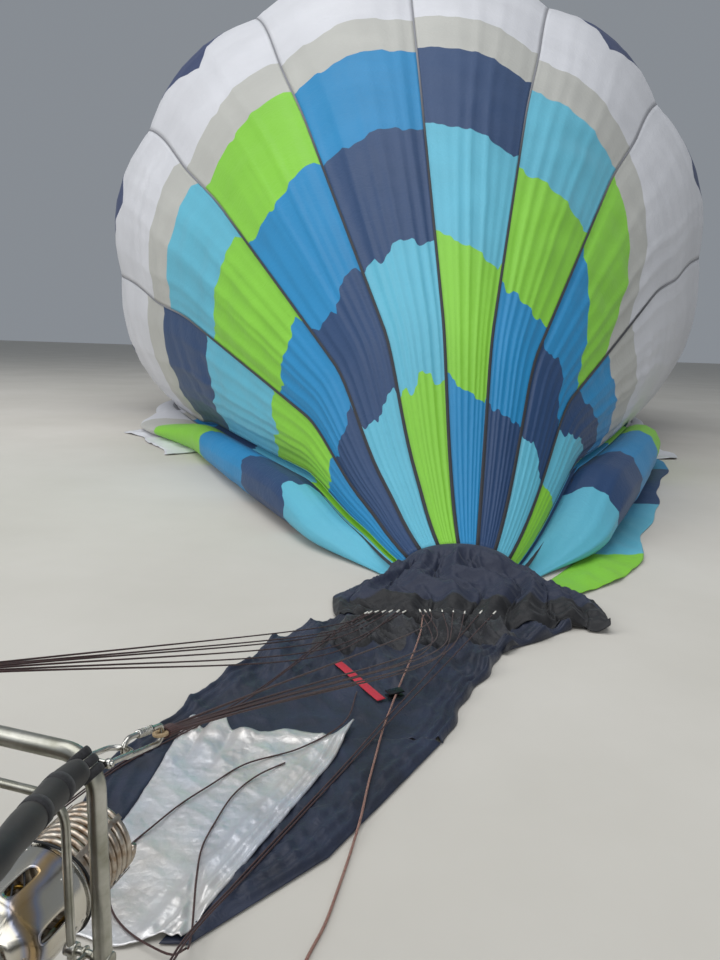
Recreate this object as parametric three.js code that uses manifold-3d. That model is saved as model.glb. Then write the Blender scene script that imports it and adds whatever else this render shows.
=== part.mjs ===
// Hot air balloon lying on its side, half deflated: envelope, scoop, suspension lines, burners and basket.
// Millimetres, +Z up, +Y along the envelope from its mouth to its crown.
import * as THREE from "three";
import { mergeVertices } from "three/addons/utils/BufferGeometryUtils.js";
import Module from "manifold-3d";

const wasm = await Module();
wasm.setup();

// Driving dimensions of the envelope, measured from the middle of its mouth
const GORES = 16;
const SHELL = 10;
const GAP = 0.3;
const TAPE_WIDTH = 24;
const EQUATOR_AT = 13000;
const CROWN_AT = 19600;
const CROWN_HEIGHT = 4600;
const MOUTH_END = 350;
const TOP_RISE = { start: 251, slope: 0.812, end: 8950 };
const SIDE_RISE = { start: 200, slope: 0.531, end: 6300 };
const WIDEST_SHARE = 0.38;
const FOOT_SHARE = 0.78;
const CENTRE_DRIFT = 186;
const BULGE_SHARE = 0.13;
const TUCK_DEPTH = 300;
const TUCK_MOUTH = 70;
const VENT_EDGE = 72;
const VENT_SEAT = 66;
const VENT_TRAVEL_ROOM = 0.5;

// Seams of the gores that stand, in degrees round the section from its top where the creases are at CREASE degrees
const CREASE = 127;
const WALL_SEAMS = { 1: -96, 2: -64, 3: -33, 4: -3, 5: 25, 6: 54, 7: 88 };
const CROWN_FIRST_SEAM = -93;

// Rolls of loose cloth along the ground at both feet of the wall
const ROLLS = [
  { at: 0, leftWidth: 190, leftHeight: 60, rightWidth: 210, rightHeight: 70 },
  { at: 1000, leftWidth: 230, leftHeight: 160, rightWidth: 320, rightHeight: 230 },
  { at: 2000, leftWidth: 230, leftHeight: 220, rightWidth: 330, rightHeight: 320 },
  { at: 5500, leftWidth: 250, leftHeight: 210, rightWidth: 330, rightHeight: 320 },
  { at: 7800, leftWidth: 620, leftHeight: 110, rightWidth: 260, rightHeight: 180 },
  { at: 10500, leftWidth: 260, leftHeight: 110, rightWidth: 180, rightHeight: 120 },
  { at: 13000, leftWidth: 180, leftHeight: 110, rightWidth: 180, rightHeight: 110 },
];
const ROLL_START = THREE.MathUtils.degToRad(125);
const ROLL_END = THREE.MathUtils.degToRad(-90);

// Basket and burner end: its own frame has +Y towards the mouth, X across and the ground at Z = 0
const BASKET_TURN = THREE.MathUtils.degToRad(-16.86);
const FRAME_AT = { x: -1478, y: -3276 };
const AXIS_HEIGHT = 550;
const FRAME_HALF = 380;
const FRAME_BEND = 60;
const FRAME_TUBE = 16;
const FRAME_SIDES = 10;
const SLEEVE = 25;

const BASKET = { halfWidth: 630, halfHeight: 520, corner: 120, wall: 25, rimAt: -850, depth: 1080, floor: 20 };
const RIM = { radius: 35, halfWidth: 625, halfHeight: 515, corner: 110 };
const TANK = { radius: 150, length: 780, neck: 40, guard: 60 };

const COLOURS = {
  white: 0xd9dae2,
  blue: 0x288ccd,
  navy: 0x3c5582,
  lightBlue: 0x6ebed2,
  green: 0x96d24b,
  scoop: 0x232c40,
  silver: 0xd5d7da,
  line: 0x4a2528,
  steel: 0xb9b7b0,
  black: 0x1c1d20,
  copper: 0xa08470,
  wicker: 0x9a6b3c,
  leather: 0x2a2a30,
  wood: 0xa9824f,
  aluminium: 0xc4c6c8,
  rope: 0xc98472,
};

const balloon = new THREE.Group();
const envelope = new THREE.Group();
const rigging = new THREE.Group();
const basketEnd = new THREE.Group();
basketEnd.position.set(FRAME_AT.x, FRAME_AT.y, 0);
basketEnd.rotation.z = BASKET_TURN;
balloon.add(envelope, rigging, basketEnd);

function finish(colour, roughness, metalness) {
  return new THREE.MeshStandardMaterial({ color: colour, roughness, metalness });
}

const cloth = (colour) => finish(colour, 0.75, 0);
const metal = (colour) => finish(colour, 0.3, 0.9);

function add(group, name, geometry, material) {
  const mesh = new THREE.Mesh(geometry, material);
  mesh.name = name;
  group.add(mesh);
  return mesh;
}

// Only positions are kept, with shared vertices merged
function welded(geometry) {
  const plain = geometry.clone();
  plain.deleteAttribute("normal");
  plain.deleteAttribute("uv");
  return mergeVertices(plain, 1e-3);
}

function solidOf(geometry) {
  const closed = welded(geometry);
  return new wasm.Manifold(
    new wasm.Mesh({
      numProp: 3,
      vertProperties: new Float32Array(closed.attributes.position.array),
      triVerts: new Uint32Array(closed.index.array),
    }),
  );
}

function geometryOf(solid) {
  const mesh = solid.getMesh();
  const geometry = new THREE.BufferGeometry();
  geometry.setAttribute("position", new THREE.BufferAttribute(mesh.vertProperties, 3));
  geometry.setIndex(new THREE.BufferAttribute(mesh.triVerts, 1));
  return geometry;
}

const fuse = (...geometries) => geometryOf(geometries.map(solidOf).reduce((a, b) => a.add(b)));

// Both long edges of a plate are split along the same diagonals, so that twisted neighbours lie face to face
function matchEdges(plate) {
  const index = plate.index.array;
  const { start, count } = plate.groups[1];
  for (let i = start; i < start + count; i += 6) {
    const [a, b, d, , c] = index.slice(i, i + 5);
    index.set([a, b, c, a, c, d], i);
  }
}

// A plate of cloth: a thin box whose corners are carried to place(across, along, outside)
function bentPlate(across, along, place) {
  const plate = new THREE.BoxGeometry(1, 1, 1, across, along, 1);
  matchEdges(plate);
  const position = plate.attributes.position;
  for (let i = 0; i < position.count; i += 1) {
    const column = Math.round((position.getX(i) + 0.5) * across);
    const row = Math.round((position.getY(i) + 0.5) * along);
    const moved = place(column, row, position.getZ(i) > 0);
    position.setXYZ(i, moved.x, moved.y, moved.z);
  }
  return welded(plate);
}

// A closed loop of round tube along a path in a plane, which place(x, y, off) turns into space
function tubeLoop(path, radius, sides, place, bendSteps = 2) {
  const corners = path.getPoints(bendSteps);
  const points = corners.filter((point, i) => point.distanceTo(corners[(i + 1) % corners.length]) > 1e-3);
  const steps = points.length;
  const ring = new THREE.TorusGeometry(3, 1, sides, steps);
  const position = ring.attributes.position;
  for (let i = 0; i < position.count; i += 1) {
    const round = Math.atan2(position.getY(i), position.getX(i)) / (2 * Math.PI) + 1;
    const outward = Math.hypot(position.getX(i), position.getY(i)) - 3;
    const at = Math.round(round * steps) % steps;
    const on = points[at];
    const before = on.clone().sub(points[(at + steps - 1) % steps]).normalize();
    const after = points[(at + 1) % steps].clone().sub(on).normalize();
    const along = before.add(after).normalize();
    const x = on.x + along.y * outward * radius;
    const y = on.y - along.x * outward * radius;
    const moved = place(x, y, position.getZ(i) * radius);
    position.setXYZ(i, moved.x, moved.y, moved.z);
  }
  return welded(ring);
}

function roundedRectangle(halfWidth, halfHeight, corner, Kind = THREE.Path) {
  const outline = new Kind();
  const x = halfWidth - corner;
  const y = halfHeight - corner;
  outline.moveTo(halfWidth, -y);
  outline.lineTo(halfWidth, y);
  outline.absarc(x, y, corner, 0, Math.PI / 2);
  outline.lineTo(-x, halfHeight);
  outline.absarc(-x, y, corner, Math.PI / 2, Math.PI);
  outline.lineTo(-halfWidth, -y);
  outline.absarc(-x, -y, corner, Math.PI, 1.5 * Math.PI);
  outline.lineTo(x, -halfHeight);
  outline.absarc(x, -y, corner, 1.5 * Math.PI, 2 * Math.PI);
  return outline;
}

// A round rod along a smooth curve through its points
function rod(points, radius, sides, steps, kind = "catmullrom") {
  const curve = new THREE.CatmullRomCurve3(points, false, kind);
  const section = new THREE.Shape(
    Array.from({ length: sides }, (_, i) => {
      const angle = (2 * Math.PI * i) / sides;
      return new THREE.Vector2(radius * Math.cos(angle), radius * Math.sin(angle));
    }),
  );
  return welded(new THREE.ExtrudeGeometry(section, { steps, bevelEnabled: false, extrudePath: curve }));
}

// A straight bar between two points
function bar(from, to, radius, sides) {
  const along = new THREE.Vector3().subVectors(to, from);
  const geometry = new THREE.CylinderGeometry(radius, radius, along.length(), sides);
  const turn = new THREE.Quaternion().setFromUnitVectors(new THREE.Vector3(0, 1, 0), along.clone().normalize());
  geometry.applyQuaternion(turn);
  geometry.translate((from.x + to.x) / 2, (from.y + to.y) / 2, (from.z + to.z) / 2);
  return geometry;
}

const vec = (x, y, z) => new THREE.Vector3(x, y, z);

// Envelope surface

// A straight rise from the mouth that rounds over and is level at the equator
function rising(y, { start, slope, end }) {
  const bendAt = (2 * (end - start)) / slope - EQUATOR_AT;
  if (y < bendAt) return start + slope * y;
  return end - (slope / (2 * (EQUATOR_AT - bendAt))) * (EQUATOR_AT - y) ** 2;
}

// A place along the envelope: t is the distance from the mouth to the equator, then goes on to the crown
const crownStation = (degrees) => EQUATOR_AT + (CROWN_AT - EQUATOR_AT) * (degrees / 90);
function station(t) {
  if (t <= EQUATOR_AT) return { y: t, shrink: 1, open: THREE.MathUtils.smoothstep(t, 0.9 * EQUATOR_AT, CROWN_AT) };
  const angle = (Math.PI / 2) * ((t - EQUATOR_AT) / (CROWN_AT - EQUATOR_AT));
  const y = EQUATOR_AT + (CROWN_AT - EQUATOR_AT) * Math.sin(angle);
  const open = THREE.MathUtils.smoothstep(t, 0.9 * EQUATOR_AT, crownStation(VENT_SEAT));
  return { y, shrink: Math.max(0, Math.cos(angle)), open };
}

function section(y) {
  const at = Math.min(y, EQUATOR_AT);
  const top = rising(at, TOP_RISE);
  const half = rising(at, SIDE_RISE);
  const widest = WIDEST_SHARE * top;
  const below = widest / Math.sqrt(1 - FOOT_SHARE ** 2);
  const drift = CENTRE_DRIFT * (at / EQUATOR_AT);
  return { top, half, widest, below, drift, footAngle: Math.acos(-widest / below) };
}

// A point of the wall at an angle from the top, or of the flat floor past the foot
function wallPoint(shape, angle) {
  const turn = Math.abs(angle);
  if (turn > shape.footAngle) {
    const inward = (Math.PI - turn) / (Math.PI - shape.footAngle);
    return { x: shape.drift + Math.sign(angle) * FOOT_SHARE * shape.half * inward, z: 0 };
  }
  const reach = turn < Math.PI / 2 ? shape.top - shape.widest : shape.below;
  return { x: shape.drift + shape.half * Math.sin(angle), z: shape.widest + reach * Math.cos(angle) };
}

function rollSizes(y) {
  const at = Math.min(Math.max(y, 0), EQUATOR_AT);
  const next = Math.max(1, ROLLS.findIndex((row) => row.at >= at));
  const [a, b] = [ROLLS[next - 1], ROLLS[next]];
  const share = THREE.MathUtils.smoothstep(at, a.at, b.at);
  const mix = (key) => THREE.MathUtils.lerp(a[key], b[key], share);
  return {
    left: { width: mix("leftWidth"), height: mix("leftHeight") },
    right: { width: mix("rightWidth"), height: mix("rightHeight") },
  };
}

// One foot of the wall: the crease above the roll, the roll's middle, and the tuck behind the crease
function foot(y, side) {
  const shape = section(y);
  const size = rollSizes(y)[side < 0 ? "left" : "right"];
  const creaseHeight = size.height * (1 + Math.sin(ROLL_START));
  const tuckMouth = Math.min(TUCK_MOUTH, 0.1 * shape.top);
  const angle = Math.acos(Math.min(0, (creaseHeight + tuckMouth - shape.widest) / shape.below));
  const upper = wallPoint(shape, side * angle);
  const middle = upper.x - side * size.width * Math.cos(ROLL_START);
  return { size, angle, upper, lower: { x: upper.x, z: upper.z - tuckMouth }, middle, tuckMouth };
}

function rollPoint(y, side, share) {
  const at = foot(y, side);
  const angle = THREE.MathUtils.lerp(ROLL_START, ROLL_END, share);
  const top = at.lower.z / (1 + Math.sin(ROLL_START));
  return { x: at.middle + side * at.size.width * Math.cos(angle), z: top * (1 + Math.sin(angle)) };
}

// Seam i on the ground, from the left crease (0) over the top to the right crease (8), then round below
function lyingSeam(i, y) {
  const left = foot(y, -1);
  const right = foot(y, 1);
  if (i in WALL_SEAMS) {
    const side = i < 5 ? left : right;
    return wallPoint(section(y), (WALL_SEAMS[i] / CREASE) * side.angle);
  }
  if (i === 0) return left.upper;
  if (i === 8) return right.upper;
  if (i === 9) {
    const tuck = Math.min(TUCK_DEPTH, 0.25 * section(y).half);
    return { x: right.upper.x - tuck, z: right.upper.z - right.tuckMouth / 2 };
  }
  if (i === 10) return right.lower;
  if (i === 15) return left.lower;
  const share = (i - 11) / 3;
  return { x: THREE.MathUtils.lerp(right.middle, left.middle, share), z: 0 };
}

// Towards the crown the seams spread evenly round the section
function crownSeam(i) {
  const degrees = CROWN_FIRST_SEAM + (360 / GORES) * i;
  const wrapped = ((degrees + 180) % 360) - 180;
  return wallPoint(section(EQUATOR_AT), THREE.MathUtils.degToRad(wrapped));
}

const mixed = (a, b, share) => ({ x: a.x + (b.x - a.x) * share, z: a.z + (b.z - a.z) * share });

function flatSeam(i, place) {
  return mixed(lyingSeam(i % GORES, place.y), crownSeam(i % GORES), place.open);
}

// Gore 10 and gore 14 wrap the rolls, gore 15 is folded into the left crease
const ROLL_GORES = { 10: 1, 14: -1 };
const FOLDED_GORE = 15;

function goreSection(g, u, place) {
  const a = flatSeam(g, place);
  const b = flatSeam(g + 1, place);
  const on = mixed(a, b, u);
  const chord = Math.hypot(b.x - a.x, b.z - a.z);
  const hump = 4 * u * (1 - u);
  const stands = g < 8 ? 1 : place.open;
  const fullness = THREE.MathUtils.smoothstep(place.shrink, 0.42, 0.85);
  const clear = Math.min(1, (on.z + 0.5 * chord * hump * (g < 8 ? 1 : 0)) / 900);
  const bulge = BULGE_SHARE * chord * hump * stands * fullness * clear;
  const out = { x: -(b.z - a.z) / chord, z: (b.x - a.x) / chord };
  const full = { x: on.x + out.x * bulge, z: on.z + out.z * bulge };
  if (g in ROLL_GORES) {
    const share = ROLL_GORES[g] > 0 ? u : 1 - u;
    return mixed(rollPoint(place.y, ROLL_GORES[g], share), full, place.open);
  }
  if (g === FOLDED_GORE) {
    const tuck = Math.min(TUCK_DEPTH, 0.25 * section(place.y).half);
    full.x += tuck * (1 - Math.abs(2 * u - 1)) * (1 - place.open);
  }
  return full;
}

function gorePoint(g, u, t) {
  const place = station(t);
  const flat = goreSection(g, u, place);
  const middle = section(EQUATOR_AT).drift;
  if (place.shrink === 1) return vec(flat.x, place.y, flat.z);
  return vec(
    middle + (flat.x - middle) * place.shrink,
    place.y,
    CROWN_HEIGHT + (flat.z - CROWN_HEIGHT) * place.shrink,
  );
}

const STEP = 20;
function alongAt(g, u, t) {
  return gorePoint(g, u, Math.min(t + STEP, CROWN_AT)).sub(gorePoint(g, u, t - STEP)).normalize();
}

// Place and directions on a gore: the cloth's thickness is laid along the inward normal
function gorePlace(g, u, t) {
  const at = gorePoint(g, u, t);
  const across = gorePoint(g, Math.min(1, u + 0.02), t).sub(gorePoint(g, Math.max(0, u - 0.02), t));
  const out = across.lengthSq() < 1e-6 ? vec(0, 1, 0) : across.cross(alongAt(g, u, t)).normalize();
  return { at, out };
}

// The same on a seam, with the direction across it; at a roll's seam on the ground it follows the flat side
const FLAT_AFTER = 11;
const FLAT_BEFORE = 14;
function seamPlace(i, t) {
  const seam = i % GORES;
  const at = gorePoint(seam, 0, t);
  const along = alongAt(seam, 0, t);
  const from = seam === FLAT_AFTER ? at : gorePoint((seam + GORES - 1) % GORES, 0.9, t);
  const to = seam === FLAT_BEFORE ? at : gorePoint(seam, 0.1, t);
  const across = to.clone().sub(from).normalize();
  const out = across.clone().cross(along).normalize();
  return { at, out, across: along.clone().cross(out).normalize() };
}

// The hem at the mouth is cut square, and nothing reaches below the ground
function trimmed(point, t, depth) {
  if (t === MOUTH_END) point.y = MOUTH_END;
  point.z = Math.max(point.z, depth > 0 ? 1 : 0);
  return point;
}

function onSeam(i, t, aside, depth) {
  const place = seamPlace(i, t);
  return trimmed(place.at.clone().addScaledVector(place.across, aside).addScaledVector(place.out, -depth), t, depth);
}

function onGore(g, u, t, depth) {
  const place = gorePlace(g, u, t);
  return trimmed(place.at.clone().addScaledVector(place.out, -depth), t, depth);
}

const FRONT_STATIONS = [MOUTH_END, 900, 1600, 2600, 3900, 5500, 7200, 9000, 11000, EQUATOR_AT];
const REAR_STATIONS = [14, 23, 32, 44, 56, VENT_SEAT, VENT_EDGE].map(crownStation);
const GORE_STATIONS = [...FRONT_STATIONS, ...REAR_STATIONS];
const TAPE_STATIONS = [...GORE_STATIONS, ...[80, 86, 88.2].map(crownStation)];

const columnsOf = (g) => {
  if (g === 0 || g === FOLDED_GORE) return 4;
  if (g < 8) return 5;
  return g in ROLL_GORES ? 6 : 2;
};

const GORE_COLOURS = [COLOURS.navy, COLOURS.lightBlue, COLOURS.green, COLOURS.blue];
const EDGE = TAPE_WIDTH / 2 + GAP;
function gorePlate(g, column, columns, t, depth) {
  if (column === 0) return onSeam(g, t, EDGE, depth);
  if (column === columns) return onSeam(g + 1, t, -EDGE, depth);
  return onGore(g, column / columns, t, depth);
}
for (let g = 0; g < GORES; g += 1) {
  const columns = columnsOf(g);
  const gore = bentPlate(columns, GORE_STATIONS.length - 1, (column, row, outside) =>
    gorePlate(g, column, columns, GORE_STATIONS[row], outside ? 0 : SHELL),
  );
  add(envelope, `gore_${String(g + 1).padStart(2, "0")}`, gore, cloth(GORE_COLOURS[g % 4]));
}

// Load tapes run from the mouth over every seam to the crown, where they are sewn to one hub
const CROWN_HUB = { inner: 110, outer: 260, thick: 14 };
const tapes = Array.from({ length: GORES }, (_, i) =>
  bentPlate(1, TAPE_STATIONS.length - 1, (column, row, outside) =>
    onSeam(i, TAPE_STATIONS[row], (column - 0.5) * TAPE_WIDTH, outside ? 0 : SHELL),
  ),
);

// A flat ring that faces the crown
function crownFlange(inner, outer, thick, y) {
  const ring = new THREE.LatheGeometry(
    [
      new THREE.Vector2(inner, -thick / 2),
      new THREE.Vector2(outer, -thick / 2),
      new THREE.Vector2(outer, thick / 2),
      new THREE.Vector2(inner, thick / 2),
      new THREE.Vector2(inner, -thick / 2),
    ],
    24,
  );
  ring.translate(section(EQUATOR_AT).drift, y, CROWN_HEIGHT);
  return ring;
}
const hubAt = CROWN_AT - 8;
add(envelope, "load_tapes", fuse(crownFlange(CROWN_HUB.inner, CROWN_HUB.outer, CROWN_HUB.thick, hubAt), ...tapes), cloth(COLOURS.black));

const RING = { inner: 120, outer: 150, thick: 24 };
const ringAt = hubAt + CROWN_HUB.thick / 2 + RING.thick / 2 + GAP;
add(envelope, "crown_ring", crownFlange(RING.inner, RING.outer, RING.thick, ringAt), metal(COLOURS.steel));

// Parachute vent: a cap of cloth that seats against the inside of the gores round the opening
const VENT_STATIONS = [VENT_SEAT, VENT_EDGE, 80, 90].map(crownStation);
const ventColumns = Array.from({ length: GORES }, (_, g) => {
  const columns = columnsOf(g);
  return Array.from({ length: columns + 1 }, (_, column) => ({ g, column, columns }));
}).flat();
function ventPoint(index, row, outside) {
  const depth = SHELL + VENT_TRAVEL_ROOM + (outside ? 0 : SHELL);
  const t = VENT_STATIONS[row];
  if (row === VENT_STATIONS.length - 1) return vec(section(EQUATOR_AT).drift, CROWN_AT - depth, CROWN_HEIGHT);
  const { g, column, columns } = ventColumns[index];
  return gorePlate(g, column, columns, t, depth);
}

function ventCap() {
  const rows = VENT_STATIONS.length;
  const profile = [];
  for (let row = rows - 1; row >= 0; row -= 1) profile.push(new THREE.Vector2(rows - 1 - row, 1));
  for (let row = 0; row < rows; row += 1) profile.push(new THREE.Vector2(rows - 1 - row, -1));
  const columns = ventColumns.length;
  const cap = new THREE.LatheGeometry(profile, columns);
  const position = cap.attributes.position;
  for (let i = 0; i < position.count; i += 1) {
    const radius = Math.hypot(position.getX(i), position.getZ(i));
    const round = (Math.atan2(position.getX(i), position.getZ(i)) / (2 * Math.PI) + 1) % 1;
    const row = rows - 1 - Math.round(radius);
    const moved = ventPoint(Math.round(round * columns) % columns, row, position.getY(i) < 0);
    position.setXYZ(i, moved.x, moved.y, moved.z);
  }
  return welded(cap);
}
add(envelope, "parachute_vent", ventCap(), cloth(COLOURS.white));

// Mouth band: the flame-proof lowest row of the envelope, a collapsed ring that lies on the ground
const MOUTH_SIDES = 32;
const MOUTH_ROWS = [
  { at: -450, half: 840, top: 110 },
  { at: -150, half: 700, top: 280 },
  { at: MOUTH_END - GAP, half: 580, top: 500 },
];

function mouthBand() {
  const rows = MOUTH_ROWS.length;
  const profile = [];
  for (let row = 0; row < rows; row += 1) profile.push(new THREE.Vector2(1, row));
  for (let row = rows - 1; row >= 0; row -= 1) profile.push(new THREE.Vector2(2, row));
  profile.push(new THREE.Vector2(1, 0));
  const band = new THREE.LatheGeometry(profile, MOUTH_SIDES);
  const position = band.attributes.position;
  for (let i = 0; i < position.count; i += 1) {
    const outside = Math.hypot(position.getX(i), position.getZ(i)) > 1.5;
    const angle = Math.atan2(-position.getZ(i), position.getX(i));
    const { at, half, top } = MOUTH_ROWS[Math.round(position.getY(i))];
    const inset = outside ? 0 : SHELL;
    const height = Math.sin(angle) > 1e-6 ? (top - inset) * Math.sin(angle) ** 0.8 : 0;
    position.setXYZ(i, (half - inset) * Math.cos(angle), at, Math.max(height, inset));
  }
  return welded(band);
}
add(envelope, "mouth_band", mouthBand(), cloth(COLOURS.scoop));

// Scoop: the wind shield of the mouth, laid flat in folds towards the burners, with a heat panel at its foot
const SEAM = 1;
const THROAT_EDGE = { y: -1735, left: -1545, right: -330 };
const SCOOP_ROWS = {
  scoop_throat: [
    THROAT_EDGE,
    { y: -1250, left: -1340, right: -120 },
    { y: -840, left: -1150, right: 90 },
    { y: MOUTH_ROWS[0].at - GAP, left: -880, right: 560 },
  ],
  scoop_heat_panel: [
    { y: -2780, left: -1500, right: -1140 },
    { y: THROAT_EDGE.y - GAP, left: -1400, right: -690 },
  ],
  scoop_right_side: [
    { y: -2780, left: -1140 + SEAM, right: -1120 },
    { y: -2430, left: -988 + SEAM, right: -760 },
    { y: -2060, left: -829 + SEAM, right: -530 },
    { y: THROAT_EDGE.y - GAP, left: -690 + SEAM, right: THROAT_EDGE.right },
  ],
  scoop_left_side: [
    { y: -2690, left: -1560, right: -1491 - SEAM },
    { y: -2400, left: -1620, right: -1463 - SEAM },
    { y: -1990, left: -1640, right: -1424 - SEAM },
    { y: THROAT_EDGE.y - GAP, left: THROAT_EDGE.left, right: -1400 - SEAM },
  ],
};
const FOLD = { width: 260, lean: 0.35, flat: 4, gathered: 66 };

// The cloth is gathered in folds near the mouth and lies nearly flat at the burner end
function foldHeight(x, y) {
  const gathered = THREE.MathUtils.smoothstep(y, THROAT_EDGE.y, MOUTH_ROWS[0].at);
  const wave = 0.5 - 0.5 * Math.cos((2 * Math.PI * (x + FOLD.lean * y)) / FOLD.width);
  return wave * THREE.MathUtils.lerp(FOLD.flat, FOLD.gathered, gathered);
}

function scoopPanel(rows, across, stepsPerRow) {
  const last = (rows.length - 1) * stepsPerRow;
  return bentPlate(across, last, (column, step, outside) => {
    const row = Math.min(Math.floor(step / stepsPerRow), rows.length - 2);
    const share = step / stepsPerRow - row;
    const mix = (key) => THREE.MathUtils.lerp(rows[row][key], rows[row + 1][key], share);
    const y = mix("y");
    const x = THREE.MathUtils.lerp(mix("left"), mix("right"), column / across);
    return { x, y, z: foldHeight(x, y) + (outside ? SHELL : 0) };
  });
}
add(envelope, "scoop_throat", scoopPanel(SCOOP_ROWS.scoop_throat, 18, 2), cloth(COLOURS.scoop));
add(envelope, "scoop_heat_panel", scoopPanel(SCOOP_ROWS.scoop_heat_panel, 4, 4), finish(COLOURS.silver, 0.35, 0.8));
add(envelope, "scoop_right_side", scoopPanel(SCOOP_ROWS.scoop_right_side, 2, 2), cloth(COLOURS.scoop));
add(envelope, "scoop_left_side", scoopPanel(SCOOP_ROWS.scoop_left_side, 2, 2), cloth(COLOURS.scoop));

// Burner frame: a rounded square of steel tube that stands across the basket's axis
const acrossAxis = (y) => (x, z, off) => vec(x, y - off, AXIS_HEIGHT + z);
const square = roundedRectangle(FRAME_HALF, FRAME_HALF, FRAME_BEND);
add(basketEnd, "burner_frame", tubeLoop(square, FRAME_TUBE, FRAME_SIDES, acrossAxis(0)), metal(COLOURS.steel));

// Gimbal: an inner ring that tilts on two pins in the burner frame, about X
const GIMBAL = { halfWidth: 315, halfHeight: 290, corner: 50, tube: 8, pin: 7 };
const pinEnd = FRAME_HALF - FRAME_TUBE - GAP;
const gimbalPath = roundedRectangle(GIMBAL.halfWidth, GIMBAL.halfHeight, GIMBAL.corner);
const gimbalRing = tubeLoop(gimbalPath, GIMBAL.tube, 8, acrossAxis(0));
const gimbalPins = [-1, 1].map((side) =>
  bar(vec(side * GIMBAL.halfWidth, 0, AXIS_HEIGHT), vec(side * pinEnd, 0, AXIS_HEIGHT), GIMBAL.pin, 10),
);
add(basketEnd, "gimbal_ring", fuse(gimbalRing, ...gimbalPins), metal(COLOURS.steel));

// Burners: a pair on one crossbar that tilts on two pins in the gimbal ring, about Z
const BURNER = { aside: 180, block: 55, blockFrom: -190, blockTo: -85, can: 98, canWall: 5, canFrom: -84.7, canTo: 100 };
const COIL = { from: 62, to: 270, outer: 92, inner: 66, turns: 6, sides: 16 };
const spanEnd = GIMBAL.halfHeight - GIMBAL.tube - GAP;
const blockMiddle = (BURNER.blockFrom + BURNER.blockTo) / 2;
const barEnd = BURNER.aside - BURNER.block - GAP;
const crossbar = fuse(
  bar(vec(-barEnd, blockMiddle, AXIS_HEIGHT), vec(barEnd, blockMiddle, AXIS_HEIGHT), 14, 10),
  bar(vec(0, blockMiddle, AXIS_HEIGHT), vec(0, 0, AXIS_HEIGHT), 14, 10),
  bar(vec(0, 0, AXIS_HEIGHT - spanEnd), vec(0, 0, AXIS_HEIGHT + spanEnd), 9, 10),
);

// A round piece turned about the burner's own axis, which lies along Y
function turnedAlongY(profile, sides, x, z) {
  const piece = new THREE.LatheGeometry(profile.map(([r, y]) => new THREE.Vector2(r, y)), sides);
  piece.translate(x, 0, z);
  return piece;
}

const canProfile = [
  [BURNER.can - BURNER.canWall, BURNER.canFrom],
  [BURNER.can, BURNER.canFrom],
  [BURNER.can, BURNER.canTo],
  [BURNER.can - BURNER.canWall, BURNER.canTo],
  [BURNER.can - BURNER.canWall, BURNER.canFrom],
];
const coilPitch = (COIL.to - COIL.from) / COIL.turns;
const coilProfile = [[COIL.inner, COIL.from]];
for (let turn = 0; turn < COIL.turns; turn += 1) {
  const from = COIL.from + turn * coilPitch;
  coilProfile.push([COIL.outer - 8, from], [COIL.outer, from + coilPitch / 2]);
}
coilProfile.push([COIL.outer - 8, COIL.to], [COIL.inner, COIL.to], [COIL.inner, COIL.from]);

for (const [side, label] of [[1, "near"], [-1, "far"]]) {
  const x = side * BURNER.aside;
  const block = new THREE.BoxGeometry(2 * BURNER.block, BURNER.blockTo - BURNER.blockFrom, 2 * BURNER.block);
  block.translate(x, blockMiddle, AXIS_HEIGHT);
  const base = bar(vec(x, BURNER.blockTo - 5, AXIS_HEIGHT), vec(x, BURNER.canFrom - GAP, AXIS_HEIGHT), BURNER.can, 20);
  const jet = bar(vec(x, blockMiddle, AXIS_HEIGHT), vec(x, COIL.from + 20, AXIS_HEIGHT), 22, 10);
  const legs = [0, 1, 2, 3].map((i) => {
    const turn = (Math.PI / 2) * (i + 0.5);
    const reach = COIL.inner * Math.cos(Math.PI / COIL.sides) - 3 - GAP;
    const [legX, legZ] = [x + reach * Math.cos(turn), AXIS_HEIGHT + reach * Math.sin(turn)];
    return bar(vec(legX, BURNER.canFrom - 2, legZ), vec(legX, COIL.to, legZ), 3, 6);
  });
  const knobs = [-1, 1].map((way) =>
    bar(vec(x, blockMiddle, AXIS_HEIGHT + way * BURNER.block), vec(x, blockMiddle - 60, AXIS_HEIGHT + way * 95), 12, 8),
  );
  const parts = [block, base, jet, ...legs, ...knobs];
  add(basketEnd, `burner_block_${label}`, fuse(...parts), finish(COLOURS.black, 0.4, 0.5));
  add(basketEnd, `burner_can_${label}`, turnedAlongY(canProfile, 24, x, AXIS_HEIGHT), metal(COLOURS.steel));
  add(basketEnd, `burner_coil_${label}`, turnedAlongY(coilProfile, COIL.sides, x, AXIS_HEIGHT), metal(COLOURS.copper));
}
add(basketEnd, "burner_crossbar", crossbar, metal(COLOURS.steel));

// Basket: a woven box on its side, open towards the burners, with a padded rim and a wooden floor on runners
const wallOutline = roundedRectangle(BASKET.halfWidth, BASKET.halfHeight, BASKET.corner, THREE.Shape);
const inset = BASKET.corner - BASKET.wall;
const wallInside = roundedRectangle(BASKET.halfWidth - BASKET.wall, BASKET.halfHeight - BASKET.wall, inset);
wallOutline.holes.push(wallInside);
const rimBack = BASKET.rimAt - RIM.radius - GAP;
const wallsEnd = rimBack - BASKET.depth;

// Extrusions grow along +Z, so they are turned to grow along -Y from a given place
function alongBasket(outline, length, from) {
  const piece = new THREE.ExtrudeGeometry(outline, { depth: length, bevelEnabled: false, curveSegments: 5 });
  piece.rotateX(Math.PI / 2);
  piece.translate(0, from, AXIS_HEIGHT);
  return piece;
}
add(basketEnd, "basket_walls", alongBasket(wallOutline, BASKET.depth, rimBack), finish(COLOURS.wicker, 0.85, 0));

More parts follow.
